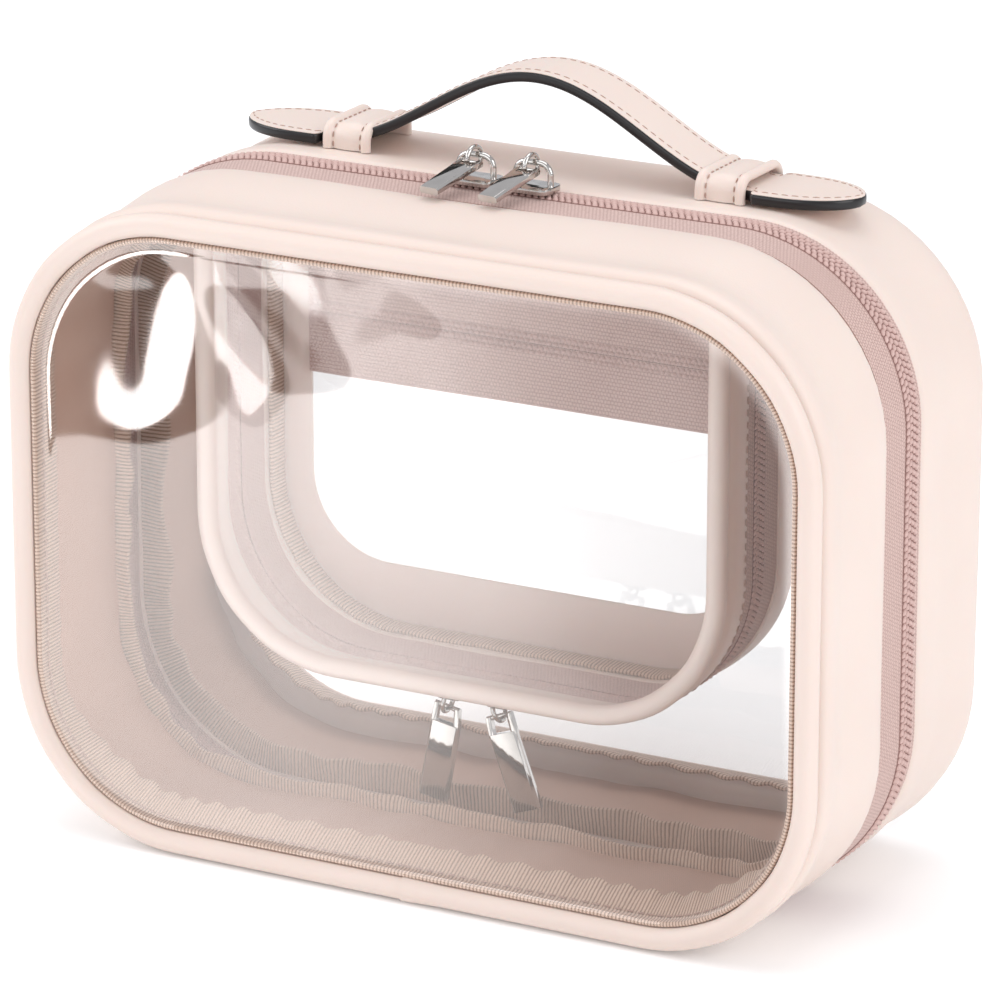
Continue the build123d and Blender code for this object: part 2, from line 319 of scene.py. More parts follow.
# %% Node helpers
def new_group(name, inputs, outputs):
    """An empty shader group with number inputs and named outputs."""
    group = bpy.data.node_groups.new(name, "ShaderNodeTree")
    for label, kind, value in inputs:
        socket = group.interface.new_socket(label, in_out="INPUT", socket_type=kind)
        socket.default_value = value
    for label, kind in outputs:
        group.interface.new_socket(label, in_out="OUTPUT", socket_type=kind)
    return group, group.nodes.new("NodeGroupInput"), group.nodes.new("NodeGroupOutput")


def maths(tree, operation, *values):
    """A Math node fed by numbers or sockets; gives its output."""
    node = tree.nodes.new("ShaderNodeMath")
    node.operation = operation
    for k, value in enumerate(values):
        if isinstance(value, (int, float)):
            node.inputs[k].default_value = value
        else:
            tree.links.new(value, node.inputs[k])
    return node.outputs[0]


def noise(tree, vector, scale, detail=2.0, roughness=0.5):
    """A Noise node on a vector; gives its value."""
    node = tree.nodes.new("ShaderNodeTexNoise")
    node.inputs["Scale"].default_value = scale
    node.inputs["Detail"].default_value = detail
    node.inputs["Roughness"].default_value = roughness
    tree.links.new(vector, node.inputs["Vector"])
    return node.outputs["Fac"]


def object_place(tree):
    return tree.nodes.new("ShaderNodeTexCoord").outputs["Object"]


def uv_parts(tree):
    """Distance along a strip and across it, in metres."""
    split = tree.nodes.new("ShaderNodeSeparateXYZ")
    tree.links.new(tree.nodes.new("ShaderNodeUVMap").outputs["UV"], split.inputs[0])
    return split.outputs[0], split.outputs[1]


def grain_group():
    """Fine coated-fabric grain: a height and a slow tone change."""
    tree, given, made = new_group("fine_grain", [("Size", "NodeSocketFloat", 1.0)],
                                  [("Height", "NodeSocketFloat"), ("Tone", "NodeSocketFloat")])
    scaled = tree.nodes.new("ShaderNodeVectorMath")
    scaled.operation = "SCALE"
    tree.links.new(object_place(tree), scaled.inputs[0])
    tree.links.new(given.outputs["Size"], scaled.inputs["Scale"])
    cells = tree.nodes.new("ShaderNodeTexVoronoi")
    cells.inputs["Scale"].default_value = 1400
    tree.links.new(scaled.outputs[0], cells.inputs["Vector"])
    fine = noise(tree, scaled.outputs[0], 2600, 3)
    height = maths(tree, "MULTIPLY_ADD", cells.outputs["Distance"], 0.6, fine)
    tree.links.new(height, made.inputs["Height"])
    tree.links.new(noise(tree, scaled.outputs[0], 28, 3), made.inputs["Tone"])
    return tree


def rib_group():
    """Ribs across a folded tape, a little uneven, with painted shade in the gaps between the raised ribs."""
    tree, given, made = new_group("ribs", [("Pitch", "NodeSocketFloat", 0.0013), ("Slant", "NodeSocketFloat", 0.0)],
                                  [("Height", "NodeSocketFloat"), ("Painted gap shade", "NodeSocketFloat")])
    along, across = uv_parts(tree)
    slanted = maths(tree, "MULTIPLY_ADD", across, given.outputs["Slant"], along)
    turns = maths(tree, "MULTIPLY", maths(tree, "DIVIDE", slanted, given.outputs["Pitch"]), 2 * math.pi)
    wobble = noise(tree, object_place(tree), 900, 2)
    wave = maths(tree, "SINE", maths(tree, "MULTIPLY_ADD", wobble, 1.6, turns))
    height = maths(tree, "MULTIPLY_ADD", wave, 0.5, 0.5)
    # painted shade: this mask darkens the colour in the gaps between the ribs
    painted_gap_shade = maths(tree, "POWER", maths(tree, "SUBTRACT", 1.0, height), 2.0)
    tree.links.new(height, made.inputs["Height"])
    tree.links.new(painted_gap_shade, made.inputs["Painted gap shade"])
    return tree


def weave_group():
    """Rows of small raised threads, each row set over from the last by Step of a pitch, a little uneven."""
    tree, given, made = new_group("weave", [("Pitch", "NodeSocketFloat", 0.001), ("Step", "NodeSocketFloat", 0.5)],
                                  [("Height", "NodeSocketFloat"), ("Painted gap shade", "NodeSocketFloat")])
    along, across = uv_parts(tree)
    fuzz = noise(tree, object_place(tree), 1100, 2)
    a = maths(tree, "MULTIPLY_ADD", fuzz, 0.7, maths(tree, "DIVIDE", along, given.outputs["Pitch"]))
    b = maths(tree, "MULTIPLY_ADD", fuzz, 0.5, maths(tree, "DIVIDE", across, given.outputs["Pitch"]))
    row = maths(tree, "FLOOR", b)
    shifted = maths(tree, "MULTIPLY_ADD", row, given.outputs["Step"], a)
    over = maths(tree, "SINE", maths(tree, "MULTIPLY", maths(tree, "FRACT", shifted), math.pi))
    under = maths(tree, "SINE", maths(tree, "MULTIPLY", maths(tree, "FRACT", b), math.pi))
    height = maths(tree, "POWER", maths(tree, "MULTIPLY", over, under), 0.6)
    # painted shade: this mask darkens the colour between the raised threads
    painted_gap_shade = maths(tree, "POWER", maths(tree, "SUBTRACT", 1.0, height), 1.5)
    tree.links.new(height, made.inputs["Height"])
    tree.links.new(painted_gap_shade, made.inputs["Painted gap shade"])
    return tree


GROUPS = {"grain": grain_group(), "ribs": rib_group(), "weave": weave_group()}
print("effects:", ", ".join(GROUPS))

# %% [markdown]
# A finish is a Principled shader with its constants set on its own sockets. Only what changes over the
# surface is wired in: the colour, the roughness and the bump.

# %% Finish helpers
def blank(name, roughness, **constants):
    """A new material with its Principled shader's constants set."""
    material = bpy.data.materials.new(name)
    material.use_nodes = True
    shader = material.node_tree.nodes["Principled BSDF"]
    shader.inputs["Roughness"].default_value = roughness
    for label, value in constants.items():
        shader.inputs[label.replace("_", " ")].default_value = value
    return material, material.node_tree, shader


def tone_mix(tree, shader, mask, light, dark):
    """Base Color from light to dark by a mask."""
    mix = tree.nodes.new("ShaderNodeMix")
    mix.data_type = "RGBA"
    mix.inputs["A"].default_value = (*light, 1)
    mix.inputs["B"].default_value = (*dark, 1)
    tree.links.new(mask, mix.inputs["Factor"])
    tree.links.new(mix.outputs["Result"], shader.inputs["Base Color"])


def bumped(tree, shader, height, strength, distance):
    """A Bump node from a height into the shader's Normal."""
    bump = tree.nodes.new("ShaderNodeBump")
    bump.inputs["Strength"].default_value = strength
    bump.inputs["Distance"].default_value = distance
    tree.links.new(height, bump.inputs["Height"])
    tree.links.new(bump.outputs["Normal"], shader.inputs["Normal"])


def placed(tree, key, **values):
    """One of the shared groups, set down in a material with its own values."""
    node = tree.nodes.new("ShaderNodeGroup")
    node.node_tree = GROUPS[key]
    for label, value in values.items():
        node.inputs[label].default_value = value
    return node


def coated_fabric():
    material, tree, shader = blank("pu_leather", 0.42, IOR=1.45, Subsurface_Weight=0.08, Subsurface_Scale=0.004)
    grain = placed(tree, "grain", Size=1.0)
    tone_mix(tree, shader, grain.outputs["Tone"], (0.775, 0.655, 0.592), (0.73, 0.605, 0.541))
    bumped(tree, shader, grain.outputs["Height"], 0.12, 0.0002)
    rough = maths(tree, "MULTIPLY_ADD", grain.outputs["Tone"], 0.14, 0.36)
    tree.links.new(rough, shader.inputs["Roughness"])
    return material


def ribbed_tape():
    material, tree, shader = blank("binding_tape", 0.75, Sheen_Weight=0.2)
    ribs = placed(tree, "ribs", Pitch=0.00108, Slant=0.0)
    # the dark colour is painted shade in the gaps between the ribs
    tone_mix(tree, shader, ribs.outputs["Painted gap shade"], (0.66, 0.485, 0.385), (0.30, 0.185, 0.13))
    bumped(tree, shader, ribs.outputs["Height"], 0.45, 0.0003)
    return material


def plain_lining():
    material, tree, shader = blank("lining", 0.8, Sheen_Weight=0.25)
    weave = placed(tree, "weave", Pitch=0.0006, Step=0.5)
    # the dark colour is painted shade between the threads of the weave
    tone_mix(tree, shader, weave.outputs["Painted gap shade"], (0.61, 0.40, 0.31), (0.50, 0.315, 0.235))
    bumped(tree, shader, weave.outputs["Height"], 0.12, 0.0001)
    return material


def woven_zip_tape():
    material, tree, shader = blank("zip_tape", 0.78, Sheen_Weight=0.2)
    weave = placed(tree, "weave", Pitch=0.00105, Step=0.5)
    # the dark colour is painted shade between the threads of the weave
    tone_mix(tree, shader, weave.outputs["Painted gap shade"], (0.64, 0.455, 0.41), (0.36, 0.21, 0.18))
    bumped(tree, shader, weave.outputs["Height"], 0.55, 0.0003)
    return material


def nylon(name, light, dark, roughness):
    material, tree, shader = blank(name, roughness)
    tone = noise(tree, object_place(tree), 700, 2)
    tone_mix(tree, shader, tone, light, dark)
    bumped(tree, shader, noise(tree, object_place(tree), 3000, 2), 0.15, 0.0002)
    return material


def bright_plating():
    material, tree, shader = blank("hardware", 0.12, Metallic=1.0)
    tone = noise(tree, object_place(tree), 240, 3)
    tone_mix(tree, shader, tone, (0.64, 0.615, 0.59), (0.51, 0.49, 0.47))
    rough = maths(tree, "MULTIPLY_ADD", tone, 0.10, 0.02)
    tree.links.new(rough, shader.inputs["Roughness"])
    return material


def painted_edge():
    material, tree, shader = blank("edge_paint", 0.3, Specular_IOR_Level=0.35, Coat_Weight=0.15, Coat_Roughness=0.15)
    tone = noise(tree, object_place(tree), 160, 3)
    tone_mix(tree, shader, tone, (0.016, 0.015, 0.016), (0.009, 0.008, 0.009))
    bumped(tree, shader, noise(tree, object_place(tree), 500, 2), 0.1, 0.0003)
    return material


FILM_IOR = 1.62
FILM_HAZE = 0.045


def clear_film(name="clear_film", strength=1.0):
    """Clear vinyl: what reaches the eye from it is a mirror gleam, stronger at a slant, over a clear sheet."""
    material, tree, shader = blank(name, 0.03, Metallic=1.0)
    tone = noise(tree, object_place(tree), 14, 2)
    tone_mix(tree, shader, tone, (0.97, 0.95, 0.94), (0.93, 0.90, 0.89))
    # the gleam is the same from both faces: a back face is given the inverse index
    behind = tree.nodes.new("ShaderNodeNewGeometry").outputs["Backfacing"]
    index = maths(tree, "MULTIPLY_ADD", behind, 1 / FILM_IOR - FILM_IOR, FILM_IOR)
    gleam = tree.nodes.new("ShaderNodeFresnel")
    tree.links.new(index, gleam.inputs["IOR"])
    # light and shadow pass through more freely than the gleam suggests, so the inside stays bright
    seen = tree.nodes.new("ShaderNodeLightPath").outputs["Is Camera Ray"]
    passing = maths(tree, "MULTIPLY_ADD", seen, 0.8 * strength, 0.2 * strength)
    gleam_and_haze = maths(tree, "MINIMUM", maths(tree, "ADD", gleam.outputs["Fac"], FILM_HAZE), 1.0)
    alpha = maths(tree, "MULTIPLY", gleam_and_haze, passing)
    tree.links.new(alpha, shader.inputs["Alpha"])
    bumped(tree, shader, noise(tree, object_place(tree), 22, 1), 0.25, 0.002)
    return material


FINISHES = {
    "pu_leather": coated_fabric(),
    "binding_tape": ribbed_tape(),
    "lining": plain_lining(),
    "zip_tape": woven_zip_tape(),
    "zip_coil": nylon("zip_coil", (0.68, 0.48, 0.44), (0.52, 0.345, 0.31), 0.45),
    "thread": nylon("thread", (0.50, 0.33, 0.27), (0.38, 0.24, 0.19), 0.6),
    "hardware": bright_plating(),
    "edge_paint": painted_edge(),
    "clear_film": clear_film(),
    "inner_film": clear_film("inner_film", 0.5),
    # a dark colour for the strips of painted shadow under the zip coils
    "coil_painted_shadow": nylon("coil_painted_shadow", (0.30, 0.17, 0.15), (0.22, 0.12, 0.105), 0.7),
}
print("finishes:", ", ".join(FINISHES))

# %% [markdown]
# ## The lid
# The lid is the front half of the case. Its wall is one strip of coated fabric round the whole outline. The
# strip rises from a stitched groove behind the front bead, swells softly, dips, and rolls over at the zip.
# A soft bag is never quite straight, so the wall bulges a little by amounts that wander slowly with place.

# %% Lid wall
zip_low, zip_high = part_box("main_zip_coil_front")
ZIP_Y = zip_high.y + 0.15 * MM
LID_DROP = CASE_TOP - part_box("lid_piping")[1].z
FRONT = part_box("lid_piping")[0].y
BEAD = 3.15 * MM
BEAD_Y = FRONT + BEAD
LID_BACK = -11 * MM


def soft_wave(x, y, z, seed=0.0):
    """A slow, smooth wander between about -1 and 1, by place, for cloth that isn't quite flat."""
    a = math.sin(31 * x + 17 * z + seed) * math.cos(23 * z - 29 * x + 2.1 * seed)
    return 0.6 * a + 0.4 * math.sin(61 * x - 43 * z + 50 * y + 3 * seed)


def lid_drop(point, out, distance=0.0, inset=0.0):
    """The top of the lid slopes down towards the front: lower the points near the front and the top."""
    share = min(1.0, max(0.0, (LID_BACK - point.y) / (LID_BACK - BEAD_Y)))
    height = min(1.0, max(0.0, (point.z - 0.06) / 0.10))
    point.z -= LID_DROP * share * height
    return point


def lid_skin(point, out, distance, inset):
    """The sloping top together with the slow wander of the soft wall, none of it under the base."""
    upright = min(1.0, max(0.0, point.z / (25 * MM)))
    point += out * (0.45 * MM * soft_wave(point.x, point.y, point.z) * upright)
    return lid_drop(point, out)


LID_SKIN = [(4.2, -47.75), (3.2, -47.5), (1.9, -47.1), (0.9, -46.5), (0.3, -45.5), (0.0, -43.8), (0.2, -41.8),
            (0.8, -39.3), (1.2, -36.8), (1.25, -34.0), (1.05, -31.0), (0.65, -27.5), (0.3, -23.5), (0.1, -19.0),
            (0.15, -15.5), (0.4, -13.1), (0.8, -12.0), (1.3, -11.2), (2.1, -10.9), (2.6, -11.4), (2.75, -12.6),
            (2.8, -17), (2.75, -24), (2.95, -33), (2.95, -41), (3.0, -45.5), (4.0, -47.0)]
lid_wall = strip("lid_wall", case_line(), in_mm(LID_SKIN), nudge=lid_skin)
put(lid_wall, "front_lid", "pu_leather", "lid_gusset")
print("lid wall:", len(lid_wall.data.polygons), "faces")

# %% [markdown]
# The front bead is a strip of the same fabric rolled round a cord. It is laid round the edge in one piece
# and its two ends overlap by 18 mm under the middle of the base, where the upper end is cut square.

# %% Front bead
def lid_bead_nudge(point, out, distance, inset):
    """Puckers where the fabric is rolled tight round the corners, and a lap where its ends meet."""
    corner = abs(out.x * out.z) * 2
    point += out * (0.10 * MM * math.sin(distance / (3.7 * MM)) * corner)
    return lid_drop(point, out)


lid_bead = strip("lid_bead", case_line(18), round_profile(3.4 * MM, BEAD_Y, BEAD, 20), nudge=lid_bead_nudge)
put(lid_bead, "front_lid", "pu_leather", "lid_piping")
LAP = 18 * MM
lap_line = [s for s in case_line(18) if s[0].z < 1e-6 and -0.1 * MM <= s[0].x <= LAP]
lap_line = measured([(s[0], s[1]) for s in sorted(lap_line, key=lambda s: s[0].x)], False)
lap = strip("lid_bead_lap", lap_line, round_profile(3.4 * MM, BEAD_Y, BEAD + 0.35 * MM, 20), closed_line=False,
            nudge=lambda p, o, d, i: p.lerp(Vector((p.x, BEAD_Y, 3.4 * MM)), min(1.0, d / (15 * MM)) * 0.13))
put(lap, "front_lid", "pu_leather")
print("bead", round(BEAD * 2 / MM, 1), "mm thick, its ends lapped by", round(LAP / MM), "mm")

# %% [markdown]
# The clear front is a sheet of soft vinyl. It is drawn as rings inside the outline, shrinking to the middle,
# so that it can ripple gently the way a cut sheet does when it's stretched in a frame.

# %% Clear windows
def film(name, outline, middle, thick, waves, body, node, rings=22, curl=0.0, side=-1, finish="clear_film"):
    """A thin clear sheet inside a closed outline, gently rippled, its rim curling over by a little."""
    shares = [0.94 * k / rings for k in range(1, rings + 1)] + [0.95, 0.96, 0.97, 0.978, 0.985, 0.99, 0.995, 1.0]
    spots = [middle]
    for share in shares:
        spots += [middle.lerp(place, share) for place in outline]
    count = len(outline)
    faces = [(0, 1 + k, 1 + (k + 1) % count) for k in range(count)]
    for ring in range(1, len(shares)):
        a, b = 1 + (ring - 1) * count, 1 + ring * count
        faces += [(a + k, b + k, b + (k + 1) % count, a + (k + 1) % count) for k in range(count)]
    for k, spot in enumerate(spots):
        share = shares[(k - 1) // count] if k else 0
        rim = max(0.0, (share - 0.955) / 0.045)
        spots[k] = spot + Vector((0, waves(spot.x, spot.z) * (1 - share ** 5) + side * curl * rim ** 2, 0))
    mesh = bpy.data.meshes.new(name)
    mesh.from_pydata(spots, [], faces)
    obj = bpy.data.objects.new(name, mesh)
    bpy.context.scene.collection.objects.link(obj)
    only(obj)
    bpy.ops.object.mode_set(mode="EDIT")
    bpy.ops.mesh.select_all(action="SELECT")
    bpy.ops.mesh.normals_make_consistent(inside=False)
    bpy.ops.object.mode_set(mode="OBJECT")
    thicken = obj.modifiers.new("Solidify", "SOLIDIFY")
    thicken.thickness = thick
    thicken.offset = 0
    apply_all(obj)
    bpy.ops.object.shade_smooth()
    return put(obj, body, finish, node)


def inside_line(inset, y, drop, steps=18):
    """The case outline drawn in by an inset at one depth, as plain places."""
    places = []
    for place, out, side, _ in case_line(steps)[:-1]:
        spot = place - out * inset
        spot.y = y
        places.append(lid_drop(spot, out) if drop else spot)
    return places


def front_ripple(x, z):
    return 0.36 * MM * (math.sin(26 * x + 34 * z + 0.7) + 0.5 * math.sin(47 * x - 21 * z) * math.cos(33 * z))


lid_film = film("lid_film", inside_line(7.1 * MM, BEAD_Y, True), Vector((0, BEAD_Y, CASE_TOP / 2)), 0.5 * MM,
                front_ripple, "front_lid", "lid_window", curl=0.9 * MM)
rear_film = film("rear_film", inside_line(9.3 * MM, 51.5 * MM, False), Vector((0, 51.5 * MM, CASE_TOP / 2)),
                 0.5 * MM, lambda x, z: -0.8 * front_ripple(-x, z), "rear_shell", "rear_window")
print("clear sheets 0.5 mm thick")

# %% [markdown]
# Inside each bead a folded tape binds the raw edges. It is ribbed across its width, and it gathers where it
# lies slack along the bottom. A lining covers the wall, and a second tape binds the seam at the zip.

# %% Bindings and lining of the lid
ROUND = case_line()[-1][3]


def join_fade(distance):
    """Nothing at the join of a closed line, everything a little way from it."""
    return min(1.0, max(0.0, min(distance, ROUND - distance) / (14 * MM)))


def gather(amount, pitch=9.5 * MM, lean=0.0, hinge=0.0):
    """Pucker a tape across its line, most along the bottom, where it may also lean in from its hinge edge."""
    def nudge(point, out, distance, inset):
        low = min(1.0, max(0.0, (-out.z - 0.35) / 0.45))
        loose = min(1.0, max(0.0, (abs(point.y - hinge) - 1.5 * MM) / (8 * MM)))
        swing = math.sin(2 * math.pi * distance / pitch + 1.9 * math.sin(distance / (11 * MM)))
        puff = amount * (0.35 + 0.9 * low) * loose * swing * join_fade(distance)
        return point - out * (puff + lean * low * loose) + ACROSS * (0.5 * puff)
    return nudge


def ruffle(amount, free, seed=0.0):
    """Let a tape's free edge wave from side to side: the further from its seam, the more it swings."""
    def nudge(point, out, distance, inset):
        share = (inset / free) ** 1.6 * join_fade(distance)
        wave = math.sin(distance / (3.6 * MM) + 2.2 * math.sin(distance / (13 * MM) + seed))
        wave += 0.6 * math.sin(distance / (8.9 * MM) + seed)
        lift = 0.45 * amount * share * math.sin(distance / (6.1 * MM))
        return point + ACROSS * (amount * share * wave) + out * lift
    return nudge


def both(*nudges):
    """Apply several nudges one after another."""
    def nudge(point, out, distance, inset):
        for each in nudges:
            point = each(point, out, distance, inset)
        return point
    return nudge


fine_line = case_line(22)
DENSE = []
for (here, out, side, low), (ahead, next_out, _, high) in zip(fine_line, fine_line[1:]):
    pieces = max(1, round((high - low) / (1.1 * MM)))
    DENSE += [(here.lerp(ahead, k / pieces), out.lerp(next_out, k / pieces).normalized(), side,
               low + (high - low) * k / pieces) for k in range(pieces)]
DENSE.append(fine_line[-1])

BINDING = [(6.75, -50.0), (6.7, -51.3), (7.0, -51.75), (7.6, -51.8), (8.05, -51.5), (8.2, -50.9), (8.2, -49.5),
           (8.25, -47.5), (8.3, -45), (8.25, -42.4), (8.0, -41.4), (7.5, -41.1), (7.1, -41.6), (7.0, -44), (6.9, -47)]
lid_binding = strip("lid_binding", DENSE, in_mm(BINDING),
                    nudge=both(gather(0.5 * MM, lean=4.6 * MM, hinge=-50.5 * MM), lid_drop))
put(lid_binding, "front_lid", "binding_tape", "lid_window_binding")
stitches("lid_binding_stitches", DENSE, 8.9 * MM, -48.9 * MM, "front_lid", nudge=lid_drop)

SEAM_TAPE = [(1.7, -9.0), (4.5, -9.2), (8.0, -9.1), (9.9, -8.8), (10.2, -8.2), (9.9, -7.5), (8.0, -7.3), (4.5, -7.4),
             (1.7, -7.4)]
lid_seam = strip("lid_seam_binding", DENSE, in_mm(SEAM_TAPE), nudge=ruffle(1.1 * MM, 10 * MM))
put(lid_seam, "front_lid", "binding_tape", "lid_zip_binding")


def lining_wrinkle(amount):
    """Soft vertical folds in a lining, deepest half way across."""
    def nudge(point, out, distance, inset):
        fold = math.sin(distance / (4.3 * MM) + 1.7 * math.sin(distance / (17 * MM)))
        deep = amount * join_fade(distance) * (0.4 + 0.6 * abs(math.sin(distance / (31 * MM))))
        return point - out * (deep * (0.5 + 0.5 * fold))
    return nudge


LINING = [(5.3, -40.4), (5.15, -34), (5.2, -26), (5.15, -18), (5.3, -9.4), (5.8, -9.3), (5.75, -18), (5.8, -26),
          (5.75, -34), (5.8, -40.6)]
lid_lining = strip("lid_lining_skin", DENSE, in_mm(LINING),
                   nudge=both(lining_wrinkle(0.9 * MM), lid_drop))
put(lid_lining, "front_lid", "lining", "lid_lining")
print("lid binding and lining done,", len(DENSE), "stations")

# %% [markdown]
# ## The rear half
# The rear half is deeper, and its wall rolls inwards at the back over a thick padded edge that holds the
# back window. It is made like the lid: one strip of fabric, a clear sheet, a folded tape and a lining.

# %% Rear wall, binding and lining
REAR_SKIN = [(2.2, 10.2), (1.9, 9.5), (1.2, 9.3), (0.6, 9.9), (0.3, 11.5), (0.1, 15), (0.4, 20), (0.7, 26),
             (0.55, 33), (0.2, 39), (0.05, 43.5), (0.5, 47.2), (1.9, 50.4), (4.1, 52.6), (6.8, 53.8), (9.2, 53.7),
             (10.4, 52.9), (10.3, 51.9), (9.2, 51.2), (6.9, 51.0), (4.9, 49.8), (3.3, 47.4), (2.9, 43),
             (2.75, 33), (2.7, 22), (2.5, 12)]


def rear_skin(point, out, distance, inset):
    """The slow wander of the soft rear wall, none of it under the base or at the zip."""
    upright = min(1.0, max(0.0, point.z / (25 * MM))) * min(1.0, max(0.0, (point.y - 10 * MM) / (12 * MM)))
    return point - out * (0.35 * MM * (1 + soft_wave(point.x, point.y, point.z, 2.0)) * upright)


rear_wall = strip("rear_wall", case_line(), in_mm(REAR_SKIN), nudge=rear_skin)
put(rear_wall, "rear_shell", "pu_leather", "rear_gusset")

REAR_BINDING = [(10.0, 51.0), (9.95, 48), (10.0, 45), (10.1, 42.6), (10.6, 42.1), (11.2, 42.4), (11.5, 43.4),
                (11.5, 46.5), (11.35, 49.6), (11.0, 51.1), (10.5, 51.5)]
rear_binding = strip("rear_binding", DENSE, in_mm(REAR_BINDING),
                     nudge=gather(0.35 * MM, lean=2.0 * MM, hinge=51 * MM))
put(rear_binding, "rear_shell", "binding_tape", "rear_window_binding")
stitches("rear_binding_stitches", case_line(), 11.6 * MM, 47.6 * MM, "rear_shell")
stitches("rear_roll_stitches", case_line(), 9.9 * MM, 53.35 * MM, "rear_shell")

REAR_LINING = [(2.95, 13), (3.1, 20), (3.05, 28), (3.1, 36), (3.2, 44.5), (3.7, 44.6), (3.6, 36), (3.55, 28),
               (3.6, 20), (3.5, 12.4)]
rear_lining = strip("rear_lining_skin", DENSE, in_mm(REAR_LINING),
                    nudge=lining_wrinkle(0.9 * MM))
put(rear_lining, "rear_shell", "lining", "rear_lining")
REAR_SEAM = [(a, 2.55 - b + 0.35) for a, b in [(2.2, -9.0), (4.5, -9.2), (8.0, -9.1), (9.9, -8.8), (10.2, -8.2),
                                              (9.9, -7.5), (8.0, -7.3), (4.5, -7.4), (2.2, -7.4)]]
rear_seam = strip("rear_seam_binding", DENSE, in_mm(REAR_SEAM), nudge=ruffle(1.2 * MM, 10 * MM, 2.4))
put(rear_seam, "rear_shell", "binding_tape", "rear_zip_binding")

# %% [markdown]
# ## The long zip
# The zip runs round everything but the middle of the base. Its two tapes are woven, and the coil is two
# rows of small rounded turns that fit between each other, each row sewn to its own tape. The turns are
# separate for the two halves, so the rows part when the lid opens.

# %% Zip tapes and coil turns
COIL_PITCH = 1.95 * MM
zip_line = between_ends(case_line(20), 70 * MM)
zip_line = measured([(s[0], s[1]) for s in zip_line], False)


def zip_row(name, line, body, inset, middle, side, node, pitch=COIL_PITCH, bead=1.0):
    """Half a coil: two rows of small rounded turns beside the zip's middle, set between each other."""
    places = []
    for offset, shift in ((0.93, 0.0), (2.62, 0.5)):
        start = pitch * (0.3 + shift + (0.5 if side > 0 else 0.0))
        for place, along, out in walk(line, pitch, start, line[-1][3] - pitch * 0.2):
            spot = place - out * inset + ACROSS * (middle + side * offset * bead * MM)
            places.append(frame_at(spot, along, out))
    seed = capsule(pitch * 0.96, 1.72 * bead * MM, 1.7 * bead * MM, 8, 7)
    for vertex in seed.data.vertices:
        vertex.co.y += 0.35 * vertex.co.x * side
    return put(repeated(name, seed, places), body, "zip_coil", node)


ZIP_MIDDLE = 3.7 * MM
front_tape = strip("zip_tape_front", zip_line, tape_profile(0.95 * MM, 0.6 * MM, -11.6 * MM, 3.5 * MM, 8),
                   closed_line=False)
put(front_tape, "front_lid", "zip_tape", "main_zip_tape_front")
rear_tape = strip("zip_tape_rear", zip_line, tape_profile(0.95 * MM, 0.6 * MM, 3.9 * MM, 10.4 * MM, 6),
                  closed_line=False)
put(rear_tape, "rear_shell", "zip_tape", "main_zip_tape_rear")
# under each half of the coil lies a dark strip: painted shadow beneath the turns
for word, body, start, end in (("front", "front_lid", 0.15, 3.5), ("rear", "rear_shell", 3.9, 7.25)):
    shadow_strip = strip("zip_coil_painted_shadow_" + word, zip_line, tape_profile(0.75 * MM, 0.35 * MM, start * MM, end * MM, 2),
                 closed_line=False)
    put(shadow_strip, body, "coil_painted_shadow")
zip_row("zip_coil_front", zip_line, "front_lid", 0.95 * MM, ZIP_MIDDLE, -1, "main_zip_coil_front")
zip_row("zip_coil_rear", zip_line, "rear_shell", 0.95 * MM, ZIP_MIDDLE, 1, "main_zip_coil_rear")
print("zip:", round(zip_line[-1][3] / MM), "mm long,", round(2 * zip_line[-1][3] / COIL_PITCH), "turns")

# %% [markdown]
# Where the zip stops, under the base, a strip of fabric is the hinge. It bends between the two halves as the lid
# opens; here it is made flat, in the shape it has when the case is closed.

# %% Hinge strip
hinge_line = measured([(Vector((x * MM, 0, 0)), Vector((0, 0, -1))) for x in range(-70, 71, 7)], False)
HINGE = [(0.25, -11.6)] + [(0.12, y) for y in np.linspace(-11, 9.0, 16)] + [(0.25, 9.8), (1.3, 9.8)]
HINGE += [(1.4, y) for y in np.linspace(9.0, -11, 16)] + [(1.3, -11.6)]
hinge = strip("hinge_strip", hinge_line, [(a * MM, float(b) * MM) for a, b in HINGE], closed_line=False)
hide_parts("hinge_strip_front", "hinge_strip_rear")
hinge.data.materials.append(FINISHES["pu_leather"])
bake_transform(hinge)
print("hinge strip", round(hinge.dimensions.x / MM), "mm wide")

# %% [markdown]
# ## The hanging pouch
# A small clear pouch hangs from the roof of the rear half. Its back is fixed. Its front is a flap with its
# own round bead and clear window, joined to the back by a zip that runs in a U round three sides.

# %% Pouch lines
POUCH_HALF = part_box("pouch_piping")[1].x
POUCH_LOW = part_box("pouch_piping")[0].z
POUCH_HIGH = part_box("pouch_piping")[1].z
POUCH_R = 42 * MM
pouch_line = u_line(POUCH_HALF, POUCH_LOW, POUCH_HIGH, POUCH_R)
fine_pouch = measured([(s[0], s[1]) for s in u_line(POUCH_HALF, POUCH_LOW, POUCH_HIGH, POUCH_R, 24)], False)


def sag(amount, seed=0.0):
    """A hanging pouch is limp: its walls wander a little in and out."""
    def nudge(point, out, distance, inset):
        return point - out * (amount * (0.5 + 0.5 * soft_wave(point.x * 1.6, point.y, point.z * 1.6, seed)))
    return nudge


# %% [markdown]
# The flap is made of three pieces. A bead runs down one side, round under and up the other, a narrow wall
# stands behind it, and a clear sheet fills the U inside it. The wall sags a little, because it is limp.

